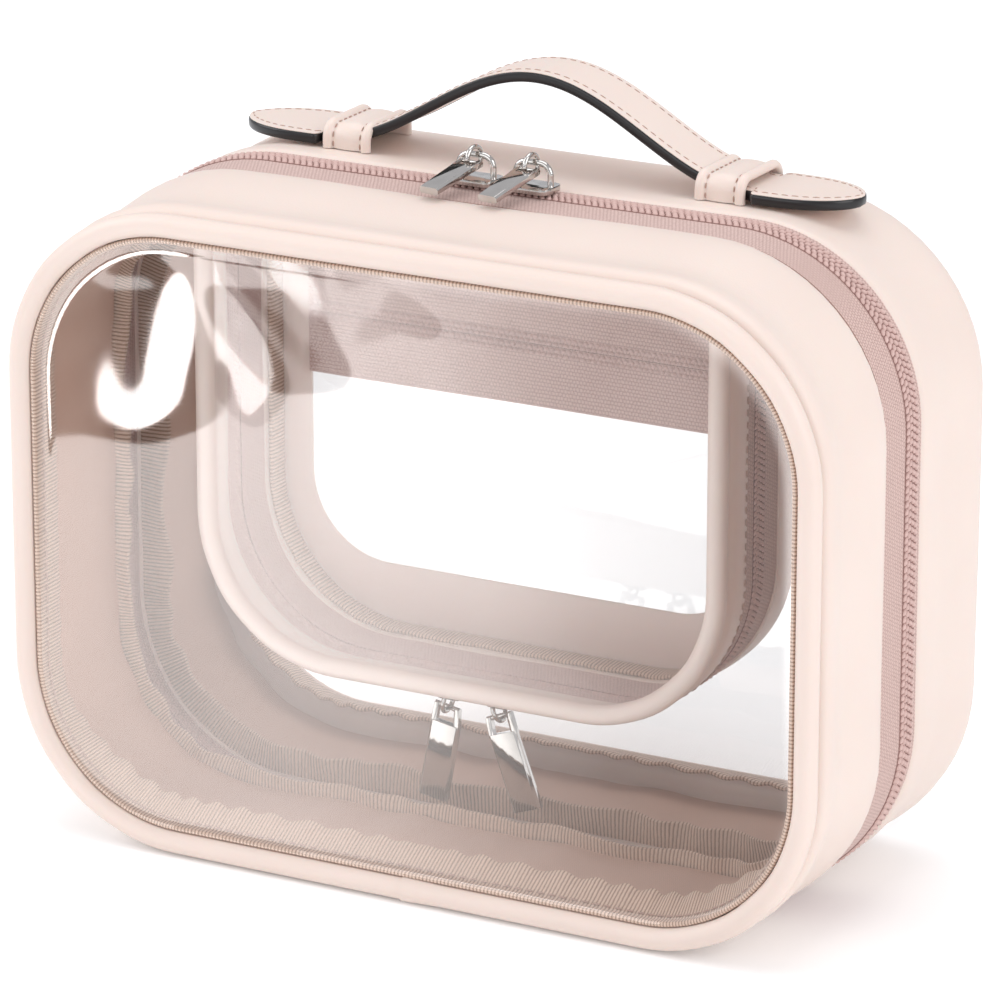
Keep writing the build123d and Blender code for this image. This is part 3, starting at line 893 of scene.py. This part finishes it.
# %% Flap: bead, clear front, side wall
flap_bead = strip("pouch_bead", fine_pouch, round_profile(2.85 * MM, -22 * MM, 2.75 * MM, 16), closed_line=False,
                  nudge=lambda p, o, d, i: p + o * (0.08 * MM * math.sin(d / (3.1 * MM)) * abs(o.x * o.z) * 2))
put(flap_bead, "pouch_flap", "pu_leather", "pouch_piping")
FLAP_WALL = [(4.2, -20.3), (2.6, -19.5), (1.0, -18.9), (0.3, -17.6), (0.05, -15.5), (0.1, -12.5), (0.3, -10.2),
             (0.7, -8.7), (1.3, -8.4), (1.7, -9.0), (1.6, -12.5), (1.6, -16), (2.0, -18), (3.2, -19.0)]
flap_wall = strip("pouch_flap_wall", fine_pouch, in_mm(FLAP_WALL), closed_line=False, nudge=sag(0.4 * MM))
put(flap_wall, "pouch_flap", "pu_leather", "pouch_front_gusset")
stitches("pouch_flap_stitches", fine_pouch, 0.1 * MM, -10.3 * MM, "pouch_flap", 2 * MM, fine_pouch[-1][3] - 2 * MM,
         nudge=sag(0.4 * MM))


def u_outline(inset, y, top):
    """A closed outline of the U drawn in by an inset, its top edge filled in."""
    places = []
    for place, out, side, _ in fine_pouch:
        spot = place - out * inset
        spot.y = y
        spot.z = min(spot.z, top)
        places.append(spot)
    last, first = places[-1], places[0]
    places += [last.lerp(first, k / 24) for k in range(1, 24)]
    return places


def pouch_ripple(x, z):
    return 0.5 * MM * (math.sin(39 * x - 52 * z) + 0.5 * math.sin(75 * x + 31 * z))


flap_film = film("pouch_front_film", u_outline(5.3 * MM, -22 * MM, POUCH_HIGH), Vector((0, -22 * MM, 107 * MM)),
                 0.5 * MM, pouch_ripple, "pouch_flap", "pouch_front_window", rings=18, finish="inner_film")
print("pouch", round(2 * POUCH_HALF / MM), "mm wide and", round((POUCH_HIGH - POUCH_LOW) / MM), "mm tall")

# %% [markdown]
# The pouch's zip is a lighter one than the case's: its turns are closer together and thinner. One tape is
# sewn to the flap and the other to the fixed back, so the same helper lays each half on its own body.

# %% Pouch zip
POUCH_PITCH = 1.7 * MM
pouch_tape_front = strip("pouch_tape_front", fine_pouch,
                         tape_profile(0.95 * MM, 0.5 * MM, -9.0 * MM, -2.15 * MM, 4), closed_line=False)
put(pouch_tape_front, "pouch_flap", "zip_tape", "pouch_zip_tape_front")
pouch_tape_rear = strip("pouch_tape_rear", fine_pouch, tape_profile(0.95 * MM, 0.5 * MM, -1.85 * MM, 10.2 * MM, 6),
                        closed_line=False, nudge=sag(0.3 * MM, 1.0))
put(pouch_tape_rear, "rear_shell", "zip_tape", "pouch_zip_tape_rear")
# under each half of the pouch coil lies a dark strip: painted shadow beneath the turns
for word, body, start, end in (("front", "pouch_flap", -5.2, -2.2), ("rear", "rear_shell", -1.8, 1.2)):
    shadow_strip = strip("pouch_coil_core_" + word, fine_pouch, tape_profile(0.8 * MM, 0.3 * MM, start * MM, end * MM, 2),
                 closed_line=False)
    put(shadow_strip, body, "coil_painted_shadow")
zip_row("pouch_coil_front", fine_pouch, "pouch_flap", 1.0 * MM, -2.0 * MM, -1, "pouch_zip_coil_front",
        pitch=POUCH_PITCH, bead=0.88)
zip_row("pouch_coil_rear", fine_pouch, "rear_shell", 1.0 * MM, -2.0 * MM, 1, "pouch_zip_coil_rear",
        pitch=POUCH_PITCH, bead=0.88)
print("pouch zip:", round(fine_pouch[-1][3] / MM), "mm long")

# %% [markdown]
# The back of the pouch is a frame of coated fabric round a clear sheet, with a small zip across it for a flat
# pocket behind. The pocket's zip tapes are woven, and its coil shows as two dotted rows.

# %% Pouch back: wall, frame, roof and hanger
BACK_WALL = [(0.3, 9.4), (0.1, 11), (0.0, 15), (0.15, 19), (0.8, 20.3), (1.8, 20.5), (2.4, 19.7), (1.7, 18.6),
             (1.5, 15), (1.5, 10.5), (1.2, 9.3)]
back_wall = strip("pouch_back_wall", fine_pouch, in_mm(BACK_WALL), closed_line=False, nudge=sag(0.35 * MM, 4.0))
put(back_wall, "rear_shell", "pu_leather", "pouch_rear_gusset")
hole_low, hole_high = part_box("pouch_rear_window")
band_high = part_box("pocket_zip_tape_upper")[1].z
HOLE_HALF = hole_high.x
BACK_Y = 19.9 * MM


def ring_plate(name, outer, inner, y, thick):
    """A flat plate between two closed outlines with the same number of points."""
    count = len(outer)
    spots = [Vector((p.x, y, p.z)) for p in outer] + [Vector((p.x, y, p.z)) for p in inner]
    faces = [(k, (k + 1) % count, count + (k + 1) % count, count + k) for k in range(count)]
    mesh = bpy.data.meshes.new(name)
    mesh.from_pydata(spots, [], faces)
    obj = bpy.data.objects.new(name, mesh)
    bpy.context.scene.collection.objects.link(obj)
    only(obj)
    bpy.ops.object.mode_set(mode="EDIT")
    bpy.ops.mesh.select_all(action="SELECT")
    bpy.ops.mesh.normals_make_consistent(inside=False)
    bpy.ops.object.mode_set(mode="OBJECT")
    thicken = obj.modifiers.new("Solidify", "SOLIDIFY")
    thicken.thickness = thick
    thicken.offset = 0
    soften = obj.modifiers.new("Bevel", "BEVEL")
    soften.width = thick * 0.3
    soften.segments = 2
    apply_all(obj)
    bpy.ops.object.shade_smooth_by_angle(angle=math.radians(40))
    return obj


def rounded_hole(half, low, high, radius, like, middle):
    """For each place of an outline, the place on a rounded rectangle in the same direction from the middle."""
    centre = Vector((0, 0, (low + high) / 2))
    reach = (high - low) / 2
    found = []
    for place in like:
        way = Vector((place.x - middle.x, 0, place.z - middle.z)).normalized()
        near, far = 0.0, 0.3
        for _ in range(40):
            t = (near + far) / 2
            spot = Vector((middle.x, 0, middle.z)) + way * t
            dx = max(0.0, abs(spot.x) - (half - radius))
            dz = max(0.0, abs(spot.z - centre.z) - (reach - radius))
            inside = math.hypot(dx, dz) < radius
            near, far = (t, far) if inside else (near, t)
        found.append(Vector((middle.x, 0, middle.z)) + way * near)
    return found


frame_outer = u_outline(1.2 * MM, BACK_Y, POUCH_HIGH)
frame_inner = rounded_hole(HOLE_HALF, hole_low.z, band_high, 24 * MM, frame_outer, Vector((0, 0, 112 * MM)))
back_frame = ring_plate("pouch_back_frame", frame_outer, frame_inner, BACK_Y, 1.2 * MM)
put(back_frame, "rear_shell", "pu_leather", "pouch_rear_frame")

window_top = hole_high.z
pane = [Vector((p.x, BACK_Y, min(p.z, window_top + 0.5 * MM))) for p in
        rounded_hole(HOLE_HALF + 1.2 * MM, hole_low.z - 1.2 * MM, band_high, 25 * MM, frame_outer,
                     Vector((0, 0, 92 * MM)))]
back_film = film("pouch_back_film", pane, Vector((0, BACK_Y, 92 * MM)), 0.4 * MM,
                 lambda x, z: 0.6 * pouch_ripple(z, x), "rear_shell", "pouch_rear_window", rings=14,
                 finish="inner_film")


def panel(name, half, low, high, y, thick, columns=48, rows=8, swell=0.0):
    """A flat cross panel drawn as a strip: X along, Z across, with a little swell."""
    line = [(Vector((half * (2 * k / columns - 1), y, 0)), Vector((0, -1, 0)), Vector((0, 0, 1)),
             2 * half * k / columns) for k in range(columns + 1)]
    levels = [low + (high - low) * k / rows for k in range(rows + 1)]
    profile = [(0.0, z) for z in levels] + [(-thick, z) for z in reversed(levels)]
    return strip(name, line, profile, closed_line=False,
                 nudge=lambda p, o, d, i: p + o * (swell * math.sin(p.x * 60 + p.z * 40)))


coil_low, coil_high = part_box("pocket_zip_coil")
COIL_Z = (coil_low.z + coil_high.z) / 2
tape_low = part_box("pocket_zip_tape_lower")
lower = panel("pocket_tape_lower", HOLE_HALF, tape_low[0].z, COIL_Z - 0.1 * MM, 19.0 * MM, 0.6 * MM,
              swell=0.2 * MM)
put(lower, "rear_shell", "zip_tape", "pocket_zip_tape_lower")
tape_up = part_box("pocket_zip_tape_upper")
upper = panel("pocket_tape_upper", HOLE_HALF, COIL_Z + 0.1 * MM, tape_up[1].z, 19.0 * MM, 0.6 * MM,
              swell=0.2 * MM)
put(upper, "rear_shell", "zip_tape", "pocket_zip_tape_upper")
pocket_places = []
for row, shift in ((-2.3, 0.0), (-0.8, 0.5), (0.8, 0.0), (2.3, 0.5)):
    x = -HOLE_HALF + 1 * MM + shift * POUCH_PITCH
    while x < HOLE_HALF - 1 * MM:
        spot = Vector((x, 18.7 * MM, COIL_Z + row * MM))
        pocket_places.append(frame_at(spot, Vector((1, 0, 0)), -ACROSS))
        x += POUCH_PITCH
pocket_coil = repeated("pocket_coil", capsule(1.55 * MM, 1.35 * MM, 2.3 * MM, 8, 7), pocket_places)
put(pocket_coil, "rear_shell", "zip_coil", "pocket_zip_coil")

BACK_BINDING = [(1.75, 12.6), (1.8, 15.5), (1.9, 18.6), (2.3, 19.2), (2.9, 19), (3.05, 17.5), (3.0, 15),
                (2.9, 12.9), (2.4, 12.3)]
binding = strip("pouch_back_binding", fine_pouch, in_mm(BACK_BINDING), closed_line=False,
                nudge=gather(0.3 * MM, hinge=19 * MM))
put(binding, "rear_shell", "binding_tape", "pouch_rear_binding")

roof_low, roof_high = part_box("pouch_top_panel")
roof_line = [(Vector((roof_high.x * (2 * k / 40 - 1), 0, roof_high.z)), Vector((0, 0, 1)), ACROSS,
              2 * roof_high.x * k / 40) for k in range(41)]
ROOF = [(0.5, -24.7), (0.1, -24.2), (0, -20), (0, -10), (0, 0), (0, 10), (0.1, 20), (0.6, 20.5), (1.3, 20.3),
        (1.4, 10), (1.4, 0), (1.4, -10), (1.4, -20), (1.2, -24.6)]
roof = strip("pouch_roof", roof_line, in_mm(ROOF), closed_line=False,
             nudge=lambda p, o, d, i: p - o * (0.25 * MM * (1 + math.sin(p.x * 90))))
put(roof, "rear_shell", "pu_leather", "pouch_top_panel")
hang_low, hang_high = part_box("pouch_hanging_strip")
hanger = panel("pouch_hanger", hang_high.x, hang_low.z - 0.4 * MM, hang_high.z + 0.6 * MM,
               (hang_low.y + hang_high.y) / 2 - 0.5 * MM, 1.0 * MM, swell=0.3 * MM)
put(hanger, "rear_shell", "binding_tape", "pouch_hanging_strip")
print("pouch back: hole", round(2 * HOLE_HALF / MM), "mm wide, pocket zip at z =", round(COIL_Z / MM))

# %% [markdown]
# ## The handle
# The handle is one flat strap with painted edges. It arches between two keeper loops, goes through them and ends in a
# wide rounded tab on each side. Pressing it down slides the tabs outwards; here each half of the strap is made in its
# resting shape.

# %% Handle shape
HANDLE_Y = (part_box("handle_grip")[0].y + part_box("handle_grip")[1].y) / 2
STRAP_HALF = 9.5 * MM
TAB_HALF = 12.4 * MM
TAB_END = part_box("handle_tab_right")[1].x
KEEPER_X = 56 * MM
STRAP_THICK = 3.0 * MM
LYING = 182.35 * MM


def strap_height(x):
    """Middle of the strap's thickness at a place along it: a smooth arch, then flat on the roof."""
    reach = 64 * MM
    rise = 12.0 * MM * (1 + math.cos(math.pi * min(abs(x), reach) / reach))
    return LYING + STRAP_THICK / 2 + rise


def strap_width(x):
    """Half the strap's width: narrow to the keeper's far side, then a shoulder and a rounded tab."""
    x = abs(x)
    shoulder = 64.6 * MM
    if x < shoulder:
        return STRAP_HALF
    grown = min(1.0, (x - shoulder) / (1.6 * MM))
    full = STRAP_HALF + (TAB_HALF - STRAP_HALF) * math.sqrt(1 - (1 - grown) ** 2)
    start = 70 * MM
    if x <= start:
        return full
    share = min(1.0, (x - start) / (TAB_END - start))
    return full * max(0.0, 1 - share ** 2.3) ** 0.55


def strap_normal(x):
    step = 0.2 * MM
    slope = (strap_height(x + step) - strap_height(x - step)) / (2 * step)
    return Vector((-slope, 0, 1)).normalized()


def strap_marks(side):
    """Places along one half, close together at the shoulder and the tip."""
    xs = list(np.linspace(0, 60, 61)) + list(np.linspace(60.5, 64.4, 7)) + list(np.linspace(64.6, 66.4, 10))
    xs += list(np.linspace(67.2, 84, 22)) + [92 - 8 * math.cos(t) for t in np.linspace(0.1, math.pi / 2 - 0.02, 22)]
    return [side * float(x) * MM for x in xs]


STRAP_SHARES = [-1.0, -0.985, -0.95, -0.85, -0.6, -0.3, 0, 0.3, 0.6, 0.85, 0.95, 0.985, 1.0]


def strap_leather(name, side):
    """The leather of one half, a rounded slab that follows the arch, narrower than its painted edge."""
    marks = strap_marks(side)
    stations = [(Vector((x, HANDLE_Y, strap_height(x))), strap_normal(x), ACROSS, abs(x)) for x in marks]
    rows = [(-1.5 + 0.2 * abs(s) ** 8, s) for s in STRAP_SHARES] + [(1.42, s) for s in reversed(STRAP_SHARES)]
    edge = 0.22 * MM

    def spread(point, out, distance, inset):
        share = (point.y - HANDLE_Y) / MM
        half = max(0.05 * MM, strap_width(distance) - edge)
        point.y = HANDLE_Y + share * half
        return point

    return strip(name, stations, [(a * MM, s * MM) for a, s in rows], closed_line=False, nudge=spread, sharp=50)


def strap_outline(side, inset=0.0):
    """The strap's edge line of one half: out along the front, round the tip, back along the rear."""
    line = []
    for face in (-1, 1):
        part = []
        for x in strap_marks(side):
            half = max(0.0, strap_width(x) - inset)
            if half > 0.2 * MM or not part:
                part.append(Vector((x, HANDLE_Y + face * half, strap_height(x))))
        line += part if face < 0 else list(reversed(part))
    return line


def edge_stations(points):
    """Stations along the edge line: out is away from the strap, across is the strap's normal."""
    stations = []
    distance = 0.0
    for k, here in enumerate(points):
        before, after = points[max(0, k - 1)], points[min(len(points) - 1, k + 1)]
        normal = strap_normal(here.x)
        out = (after - before).cross(normal).normalized()
        middle = Vector((here.x * 0.97, HANDLE_Y, here.z))
        if out.dot(here - middle) < 0:
            out = -out
        stations.append((here, out, normal, distance))
        distance += (after - here).length
    return stations


def follow_handle(obj, side, slot_name, *nodes):
    """A piece of the handle: hide the plain nodes it stands for, give it its finish and bake its place into its mesh.
    """
    if nodes:
        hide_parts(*nodes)
    obj.data.materials.clear()
    obj.data.materials.append(FINISHES[slot_name])
    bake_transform(obj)
    return obj


# %% [markdown]
# Each half of the strap has three pieces: the leather, its painted edge, which runs out along the front, round the
# tab and back, and a row of stitches a little way in from that edge.

# %% Both halves of the strap
EDGE = [(0.6, -1.5), (0.15, -1.52), (-0.1, -1.15), (-0.2, -0.4), (-0.2, 0.3), (-0.12, 0.85), (0.1, 1.12),
        (0.6, 1.15)]
SEAM_INSET = 2.3 * MM
for side, word in ((1, "right"), (-1, "left")):
    leather = strap_leather("handle_strap_" + word, side)
    nodes = ["handle_slope_" + word, "handle_tab_" + word] + (["handle_grip"] if side > 0 else [])
    follow_handle(leather, side, "pu_leather", *nodes)
    edge = strip("handle_edge_" + word, edge_stations(strap_outline(side)), in_mm(EDGE), closed_line=False, sharp=60)
    follow_handle(edge, side, "edge_paint")
    seam_places = []
    for place, along, out in walk(edge_stations(strap_outline(side, SEAM_INSET)), STITCH_PITCH * 0.85):
        normal = strap_normal(place.x)
        seam_places.append(frame_at(place + normal * 1.5 * MM, along, normal))
    thread = repeated("handle_stitches_" + word, capsule(2.0 * MM, 0.42 * MM, 0.35 * MM, 6, 4), seam_places)
    follow_handle(thread, side, "thread")
print("strap", round(2 * STRAP_HALF / MM), "mm wide, tabs", round(2 * TAB_HALF / MM), "mm wide")

# %% [markdown]
# A keeper is a short band of the same fabric folded into a loop over the strap. Its two long edges are
# rolled, which gives it two raised beads, and it is sewn down on both sides of the strap.

# %% Keeper loops
KEEPER = [(1.2, -6.6), (0.75, -7.15), (0.0, -7.25), (-0.7, -6.95), (-1.1, -6.3), (-1.1, -5.5), (-0.75, -4.85),
          (-0.1, -4.5), (0.1, -4.1), (-0.1, -3.2), (-0.35, -1.6), (-0.42, 0), (-0.35, 1.6), (-0.1, 3.2), (0.1, 4.1),
          (-0.1, 4.5), (-0.75, 4.85), (-1.1, 5.5), (-1.1, 6.3), (-0.7, 6.95), (0.0, 7.25), (0.75, 7.15), (1.2, 6.6),
          (1.2, 3), (1.2, 0), (1.2, -3)]
KEEPER_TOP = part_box("keeper_loop_left")[1].z + 0.7 * MM
KEEPER_HALF = 11.4 * MM


def keeper_line(x):
    """Over the strap from one side to the other: up, round a small corner, across, and down."""
    small = 4.0 * MM
    low = 181.6 * MM
    points = [(Vector((x, HANDLE_Y - KEEPER_HALF, low)), Vector((0, -1, 0)))]
    for start, end, y in ((180, 90, -1), (90, 0, 1)):
        for k in range(9):
            angle = math.radians(start + (end - start) * k / 8)
            out = Vector((0, math.cos(angle), math.sin(angle)))
            centre = Vector((x, HANDLE_Y + y * (KEEPER_HALF - small), KEEPER_TOP - small))
            points.append((centre + out * small, out))
    points.append((Vector((x, HANDLE_Y + KEEPER_HALF, low)), Vector((0, 1, 0))))
    stations = []
    distance = 0.0
    for k, (place, out) in enumerate(points):
        stations.append((place, out, Vector((1, 0, 0)), distance))
        if k + 1 < len(points):
            distance += (points[k + 1][0] - place).length
    return stations


for side, word in ((1, "right"), (-1, "left")):
    line = keeper_line(side * KEEPER_X)
    loop = strip("keeper_" + word, line, in_mm(KEEPER), closed_line=False, sharp=50)
    put(loop, "rear_shell", "pu_leather", "keeper_loop_" + word)
    places = []
    for offset in (-4.1, 4.1):
        for place, along, out in walk(line, 2.6 * MM, 1.2 * MM, line[-1][3] - 1.2 * MM):
            places.append(frame_at(place + Vector((offset * MM, 0, 0)) + out * 0.1 * MM, along, out))
    keeper_thread = repeated("keeper_stitches_" + word, capsule(1.7 * MM, 0.45 * MM, 0.4 * MM, 6, 4), places)
    put(keeper_thread, "rear_shell", "thread")
print("keepers", 2 * max(b for a, b in KEEPER), "mm wide at x = +/-", round(KEEPER_X / MM))

# %% [markdown]
# ## Metal
# The sliders, rings and pulls are cast and plated. Their shapes come from the plain model; here each is
# copied, its edges are softened with a bevel so that they catch the light, and it gets the bright plating.

# %% Sliders, rings and pulls
METAL_STARTS = tuple(zip_name + kind for zip_name in ("main", "pouch", "pocket")
                     for kind in ("_slider", "_ring", "_pull"))
METAL = [n for n in frame["nodes"] if n.startswith(METAL_STARTS)]
PINS = {joint["name"]: joint["pos_m"] for joint in frame["joints"] if joint["type"] == "hinge"}
for node in METAL:
    plain = frame["nodes"][node]
    copy = plain.copy()
    copy.data = plain.data.copy()
    copy.parent = None
    copy.matrix_world = Matrix.Identity(4)
    for key in list(copy.keys()):
        del copy[key]
    copy.name = "plated_" + node
    bpy.context.scene.collection.objects.link(copy)
    only(copy)
    bpy.ops.object.mode_set(mode="EDIT")
    bpy.ops.mesh.select_all(action="SELECT")
    bpy.ops.mesh.remove_doubles(threshold=2e-6)
    bpy.ops.mesh.normals_make_consistent(inside=False)
    bpy.ops.object.mode_set(mode="OBJECT")
    soften = copy.modifiers.new("Bevel", "BEVEL")
    soften.width = 0.22 * MM
    soften.segments = 2
    soften.limit_method = "ANGLE"
    soften.angle_limit = math.radians(38)
    apply_all(copy)
    bpy.ops.object.shade_smooth_by_angle(angle=math.radians(38))
    if node.startswith("pouch_pull"):
        # the pouch pulls are broader, longer plates: grow them away from their pins
        low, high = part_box(node)
        pin = Vector(((low.x + high.x) / 2, (low.y + high.y) / 2, high.z))
        for vertex in copy.data.vertices:
            far = min(1.0, max(0.0, (pin.z - vertex.co.z) / (6 * MM)))
            vertex.co.x = pin.x + (vertex.co.x - pin.x) * (1 + 0.22 * far)
            vertex.co.z = pin.z + (vertex.co.z - pin.z) * 1.2
    if node.startswith("main_pull"):
        # the top pulls are a little shorter: draw them in towards their pins
        pin = Vector(PINS[node + "_swing"])
        for vertex in copy.data.vertices:
            far = min(1.0, (vertex.co - pin).length / (9 * MM))
            vertex.co = pin + (vertex.co - pin) * (1 - 0.17 * far)
    put(copy, plain["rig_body"], "hardware", node)
print(len(METAL), "plated pieces")

# %% [markdown]
# A slider holds its coil from both sides, so the pocket slider also has a small plate on the far side of
# its zip. It is a strip too: a thin plate with its two long sides folded over and its ends drawn in.

# %% Slider back plate
def back_plate(name, centre, along, out, body):
    """A small folded plate, 11 mm long and 8.6 mm wide, at the inner side of a slider."""
    line = [(Vector((x * MM, 0, 0)), Vector((0, 0, 1)), ACROSS, (x + 5.5) * MM) for x in
            (-5.5, -5.3, -4.6, -3, -1, 1, 3, 4.6, 5.3, 5.5)]
    fold = [(0.0, 0.0), (0.05, -2.5), (-0.05, -3.6), (0.4, -4.3), (1.4, -4.3), (1.5, -3.6), (0.9, -3.2), (0.8, 0),
            (0.9, 3.2), (1.5, 3.6), (1.4, 4.3), (0.4, 4.3), (-0.05, 3.6), (0.05, 2.5)]

    def rounded(point, out, distance, inset):
        end = max(0.0, abs(point.x) - 4.4 * MM) / (1.1 * MM)
        point.y *= 1 - 0.22 * end ** 2
        return point

    plate = strip(name, line, in_mm(fold), closed_line=False, nudge=rounded, sharp=50)
    plate.data.transform(frame_at(centre, along, out))
    return put(plate, body, "hardware")


low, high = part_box("pocket_slider")
back_plate("pocket_slider_back", Vector(((low.x + high.x) / 2, 17.3 * MM, COIL_Z)), Vector((1, 0, 0)),
           Vector((0, -1, 0)), "pocket_slider")
print("pocket slider back plate")

# %% [markdown]
# ## Light, floor and camera
# A plain white floor and soft light from both sides, the front and above. The glossy sheets and the metal
# need something to mirror. So dark and bright cards stand about and lie on the floor, and show only in
# reflections. Those on the floor are set where the camera below meets them in the front sheet.

# %% Floor and lights
scene = bpy.context.scene
bpy.ops.mesh.primitive_grid_add(x_subdivisions=8, y_subdivisions=8, size=6)
floor = bpy.context.object
floor.name = "floor"
floor.location = (0, 0, -0.0004)
floor_finish, floor_tree, floor_shader = blank("floor_paint", 0.6)
floor_shader.inputs["Base Color"].default_value = (0.97, 0.97, 0.97, 1)
floor_shader.inputs["Emission Color"].default_value = (1, 1, 1, 1)
floor_shader.inputs["Emission Strength"].default_value = 0.10
floor_shader.inputs["Specular IOR Level"].default_value = 0.2
floor.data.materials.append(floor_finish)


def soft_light(name, place, aim, size, power, tint=(1, 1, 1)):
    """An area light that isn't seen by the camera."""
    lamp = bpy.data.lights.new(name, "AREA")
    lamp.shape = "RECTANGLE"
    lamp.size, lamp.size_y = size
    lamp.energy = power
    lamp.color = tint
    obj = bpy.data.objects.new(name, lamp)
    scene.collection.objects.link(obj)
    obj.location = place
    obj.rotation_euler = (Vector(aim) - Vector(place)).to_track_quat("-Z", "Y").to_euler()
    obj.visible_camera = False
    return obj


def card_paint(obj, glow=0.0, tint=(1, 1, 1)):
    """Paint a card dark, give it its glow, and let only reflections show it."""
    paint, paint_tree, paint_shader = blank(obj.name + "_paint", 0.9)
    paint_shader.inputs["Base Color"].default_value = (0.02, 0.02, 0.02, 1)
    paint_shader.inputs["Emission Color"].default_value = (*tint, 1)
    paint_shader.inputs["Emission Strength"].default_value = glow
    obj.data.materials.append(paint)
    obj.visible_camera = obj.visible_diffuse = obj.visible_shadow = obj.visible_transmission = False
    return paint_tree, paint_shader


def dark_panel(name, place, aim, wide, tall):
    """A dark upright panel that only mirrors can see, so that bright metal has something dark to show."""
    bpy.ops.mesh.primitive_plane_add(size=1, location=place)
    obj = bpy.context.object
    obj.name = name
    obj.scale = (wide, tall, 1)
    obj.rotation_euler = (Vector(aim) - Vector(place)).to_track_quat("Z", "Y").to_euler()
    card_paint(obj)


dark_panel("card_back", (-1.1, 1.9, 1.15), (0, 0, 0.2), 1.1, 0.5)
dark_panel("card_high", (0.7, 0.9, 1.9), (0, 0, 0.2), 0.5, 0.35)
soft_light("left", (-1.9, -0.7, 1.3), (0, 0, 0.1), (1.5, 1.5), 20)
soft_light("right", (1.9, -0.5, 1.0), (0, 0, 0.1), (1.4, 1.4), 18)
soft_light("top", (0.0, 0.3, 2.1), (0, 0, 0.1), (1.6, 1.6), 14)
soft_light("front", (-0.5, -2.2, 0.9), (0, 0, 0.1), (1.4, 1.0), 7)


def floor_card(name, outline, height, glow):
    """A flat card just above the floor that only mirrors can see, dark or bright."""
    spots = [Vector((x * MM, y * MM, height)) for x, y in outline]
    mesh = bpy.data.meshes.new(name)
    mesh.from_pydata(spots, [], [tuple(range(len(spots)))])
    obj = bpy.data.objects.new(name, mesh)
    scene.collection.objects.link(obj)
    card_paint(obj, glow)


def oval(x, y, wide, deep, turned=0.0, points=40):
    """An oval's outline, turned by some degrees."""
    c, s = math.cos(math.radians(turned)), math.sin(math.radians(turned))
    found = []
    for k in range(points):
        a, b = wide * math.cos(2 * math.pi * k / points), deep * math.sin(2 * math.pi * k / points)
        found.append((x + a * c - b * s, y + a * s + b * c))
    return found


TARGET = Vector((0.0013, -0.0004, 0.0969))
BACK = Vector((0.4544, -0.8357, 0.3084)).normalized()
EYE = TARGET + BACK * 1.597
FILM_Y = -50.9


def mirrored(x, z):
    """Where the camera's line to a point of the upright front sheet lands on the floor, in millimetres."""
    eye, spot = EYE / MM, (x, FILM_Y, z)
    run = z / (eye[2] - z)
    return spot[0] + (spot[0] - eye[0]) * run, spot[1] - (spot[1] - eye[1]) * run


def seen_in_front(points):
    return [mirrored(x, z) for x, z in points]


def glow_card(name, columns=24, rows=16):
    """The floor as the front sheet mirrors it: bright on the left and dimmer to the right."""
    bpy.ops.mesh.primitive_grid_add(x_subdivisions=columns, y_subdivisions=rows, size=1)
    obj = bpy.context.object
    obj.name = name
    for vertex in obj.data.vertices:
        across, up = vertex.co.x + 0.5, vertex.co.y + 0.5
        x, y = mirrored(-118 + 236 * across, 3 + 182 * up)
        vertex.co = Vector((x * MM, y * MM, 0.2 * MM))
    paint_tree, paint_shader = card_paint(obj, tint=(1, 0.985, 0.98))
    across, up = uv_parts(paint_tree)
    fade = paint_tree.nodes.new("ShaderNodeMapRange")
    fade.interpolation_type = "SMOOTHSTEP"
    fade.inputs["From Min"].default_value = 0.28
    fade.inputs["From Max"].default_value = 0.86
    fade.inputs["To Min"].default_value = VEIL_LEFT
    fade.inputs["To Max"].default_value = VEIL_RIGHT
    paint_tree.links.new(across, fade.inputs["Value"])
    paint_tree.links.new(fade.outputs["Result"], paint_shader.inputs["Emission Strength"])


VEIL_LEFT = 1.9
VEIL_RIGHT = 0.35
glow_card("card_veil")
DARK = oval(-87, 140, 31, 31)
DARK_SIDE = oval(-35, 154, 18.5, 17, -12)
GLEAM = oval(-77, 140, 10.5, 29, -28)
floor_card("card_dark_side", seen_in_front(DARK_SIDE), 0.4 * MM, 0.0)
floor_card("card_dark", seen_in_front(DARK), 0.4 * MM, 0.0)
floor_card("card_gleam", seen_in_front(GLEAM), 0.8 * MM, 6.0)
floor_card("card_spot", seen_in_front(oval(-93, 155, 7, 3.2, -14)), 0.8 * MM, 1.6)

# %% [markdown]
# The sky round the scene is a soft grey light, and plain white where the camera sees it directly, so the
# ground runs on into a white background without a line.

# %% Sky
world = bpy.data.worlds.new("studio")
scene.world = world
world.use_nodes = True
tree = world.node_tree
back = tree.nodes["Background"]
back.inputs["Color"].default_value = (0.95, 0.96, 1.0, 1)
back.inputs["Strength"].default_value = 0.68
white = tree.nodes.new("ShaderNodeBackground")
white.inputs["Strength"].default_value = 1.0
pick = tree.nodes.new("ShaderNodeMixShader")
tree.links.new(tree.nodes.new("ShaderNodeLightPath").outputs["Is Camera Ray"], pick.inputs["Fac"])
tree.links.new(back.outputs[0], pick.inputs[1])
tree.links.new(white.outputs[0], pick.inputs[2])
tree.links.new(pick.outputs[0], tree.nodes["World Output"].inputs["Surface"])
print("sky strength", back.inputs["Strength"].default_value)

# %% [markdown]
# The camera looks down on the right front corner through a long lens, so the case's edges hardly converge.
# Light passes several clear sheets one after another, so more transparent bounces are allowed.

# %% Camera
camera_data = bpy.data.cameras.new("camera")
camera = bpy.data.objects.new("camera", camera_data)
scene.collection.objects.link(camera)
camera_data.lens = 216
camera_data.sensor_width = 36
camera.location = EYE
turn = (-BACK).to_track_quat("-Z", "Y")
camera.rotation_euler = turn.to_euler()
scene.camera = camera
scene.view_settings.view_transform = "Standard"
scene.cycles.transparent_max_bounces = 32
scene.cycles.max_bounces = 14
print("camera at", [round(c, 3) for c in camera.location])
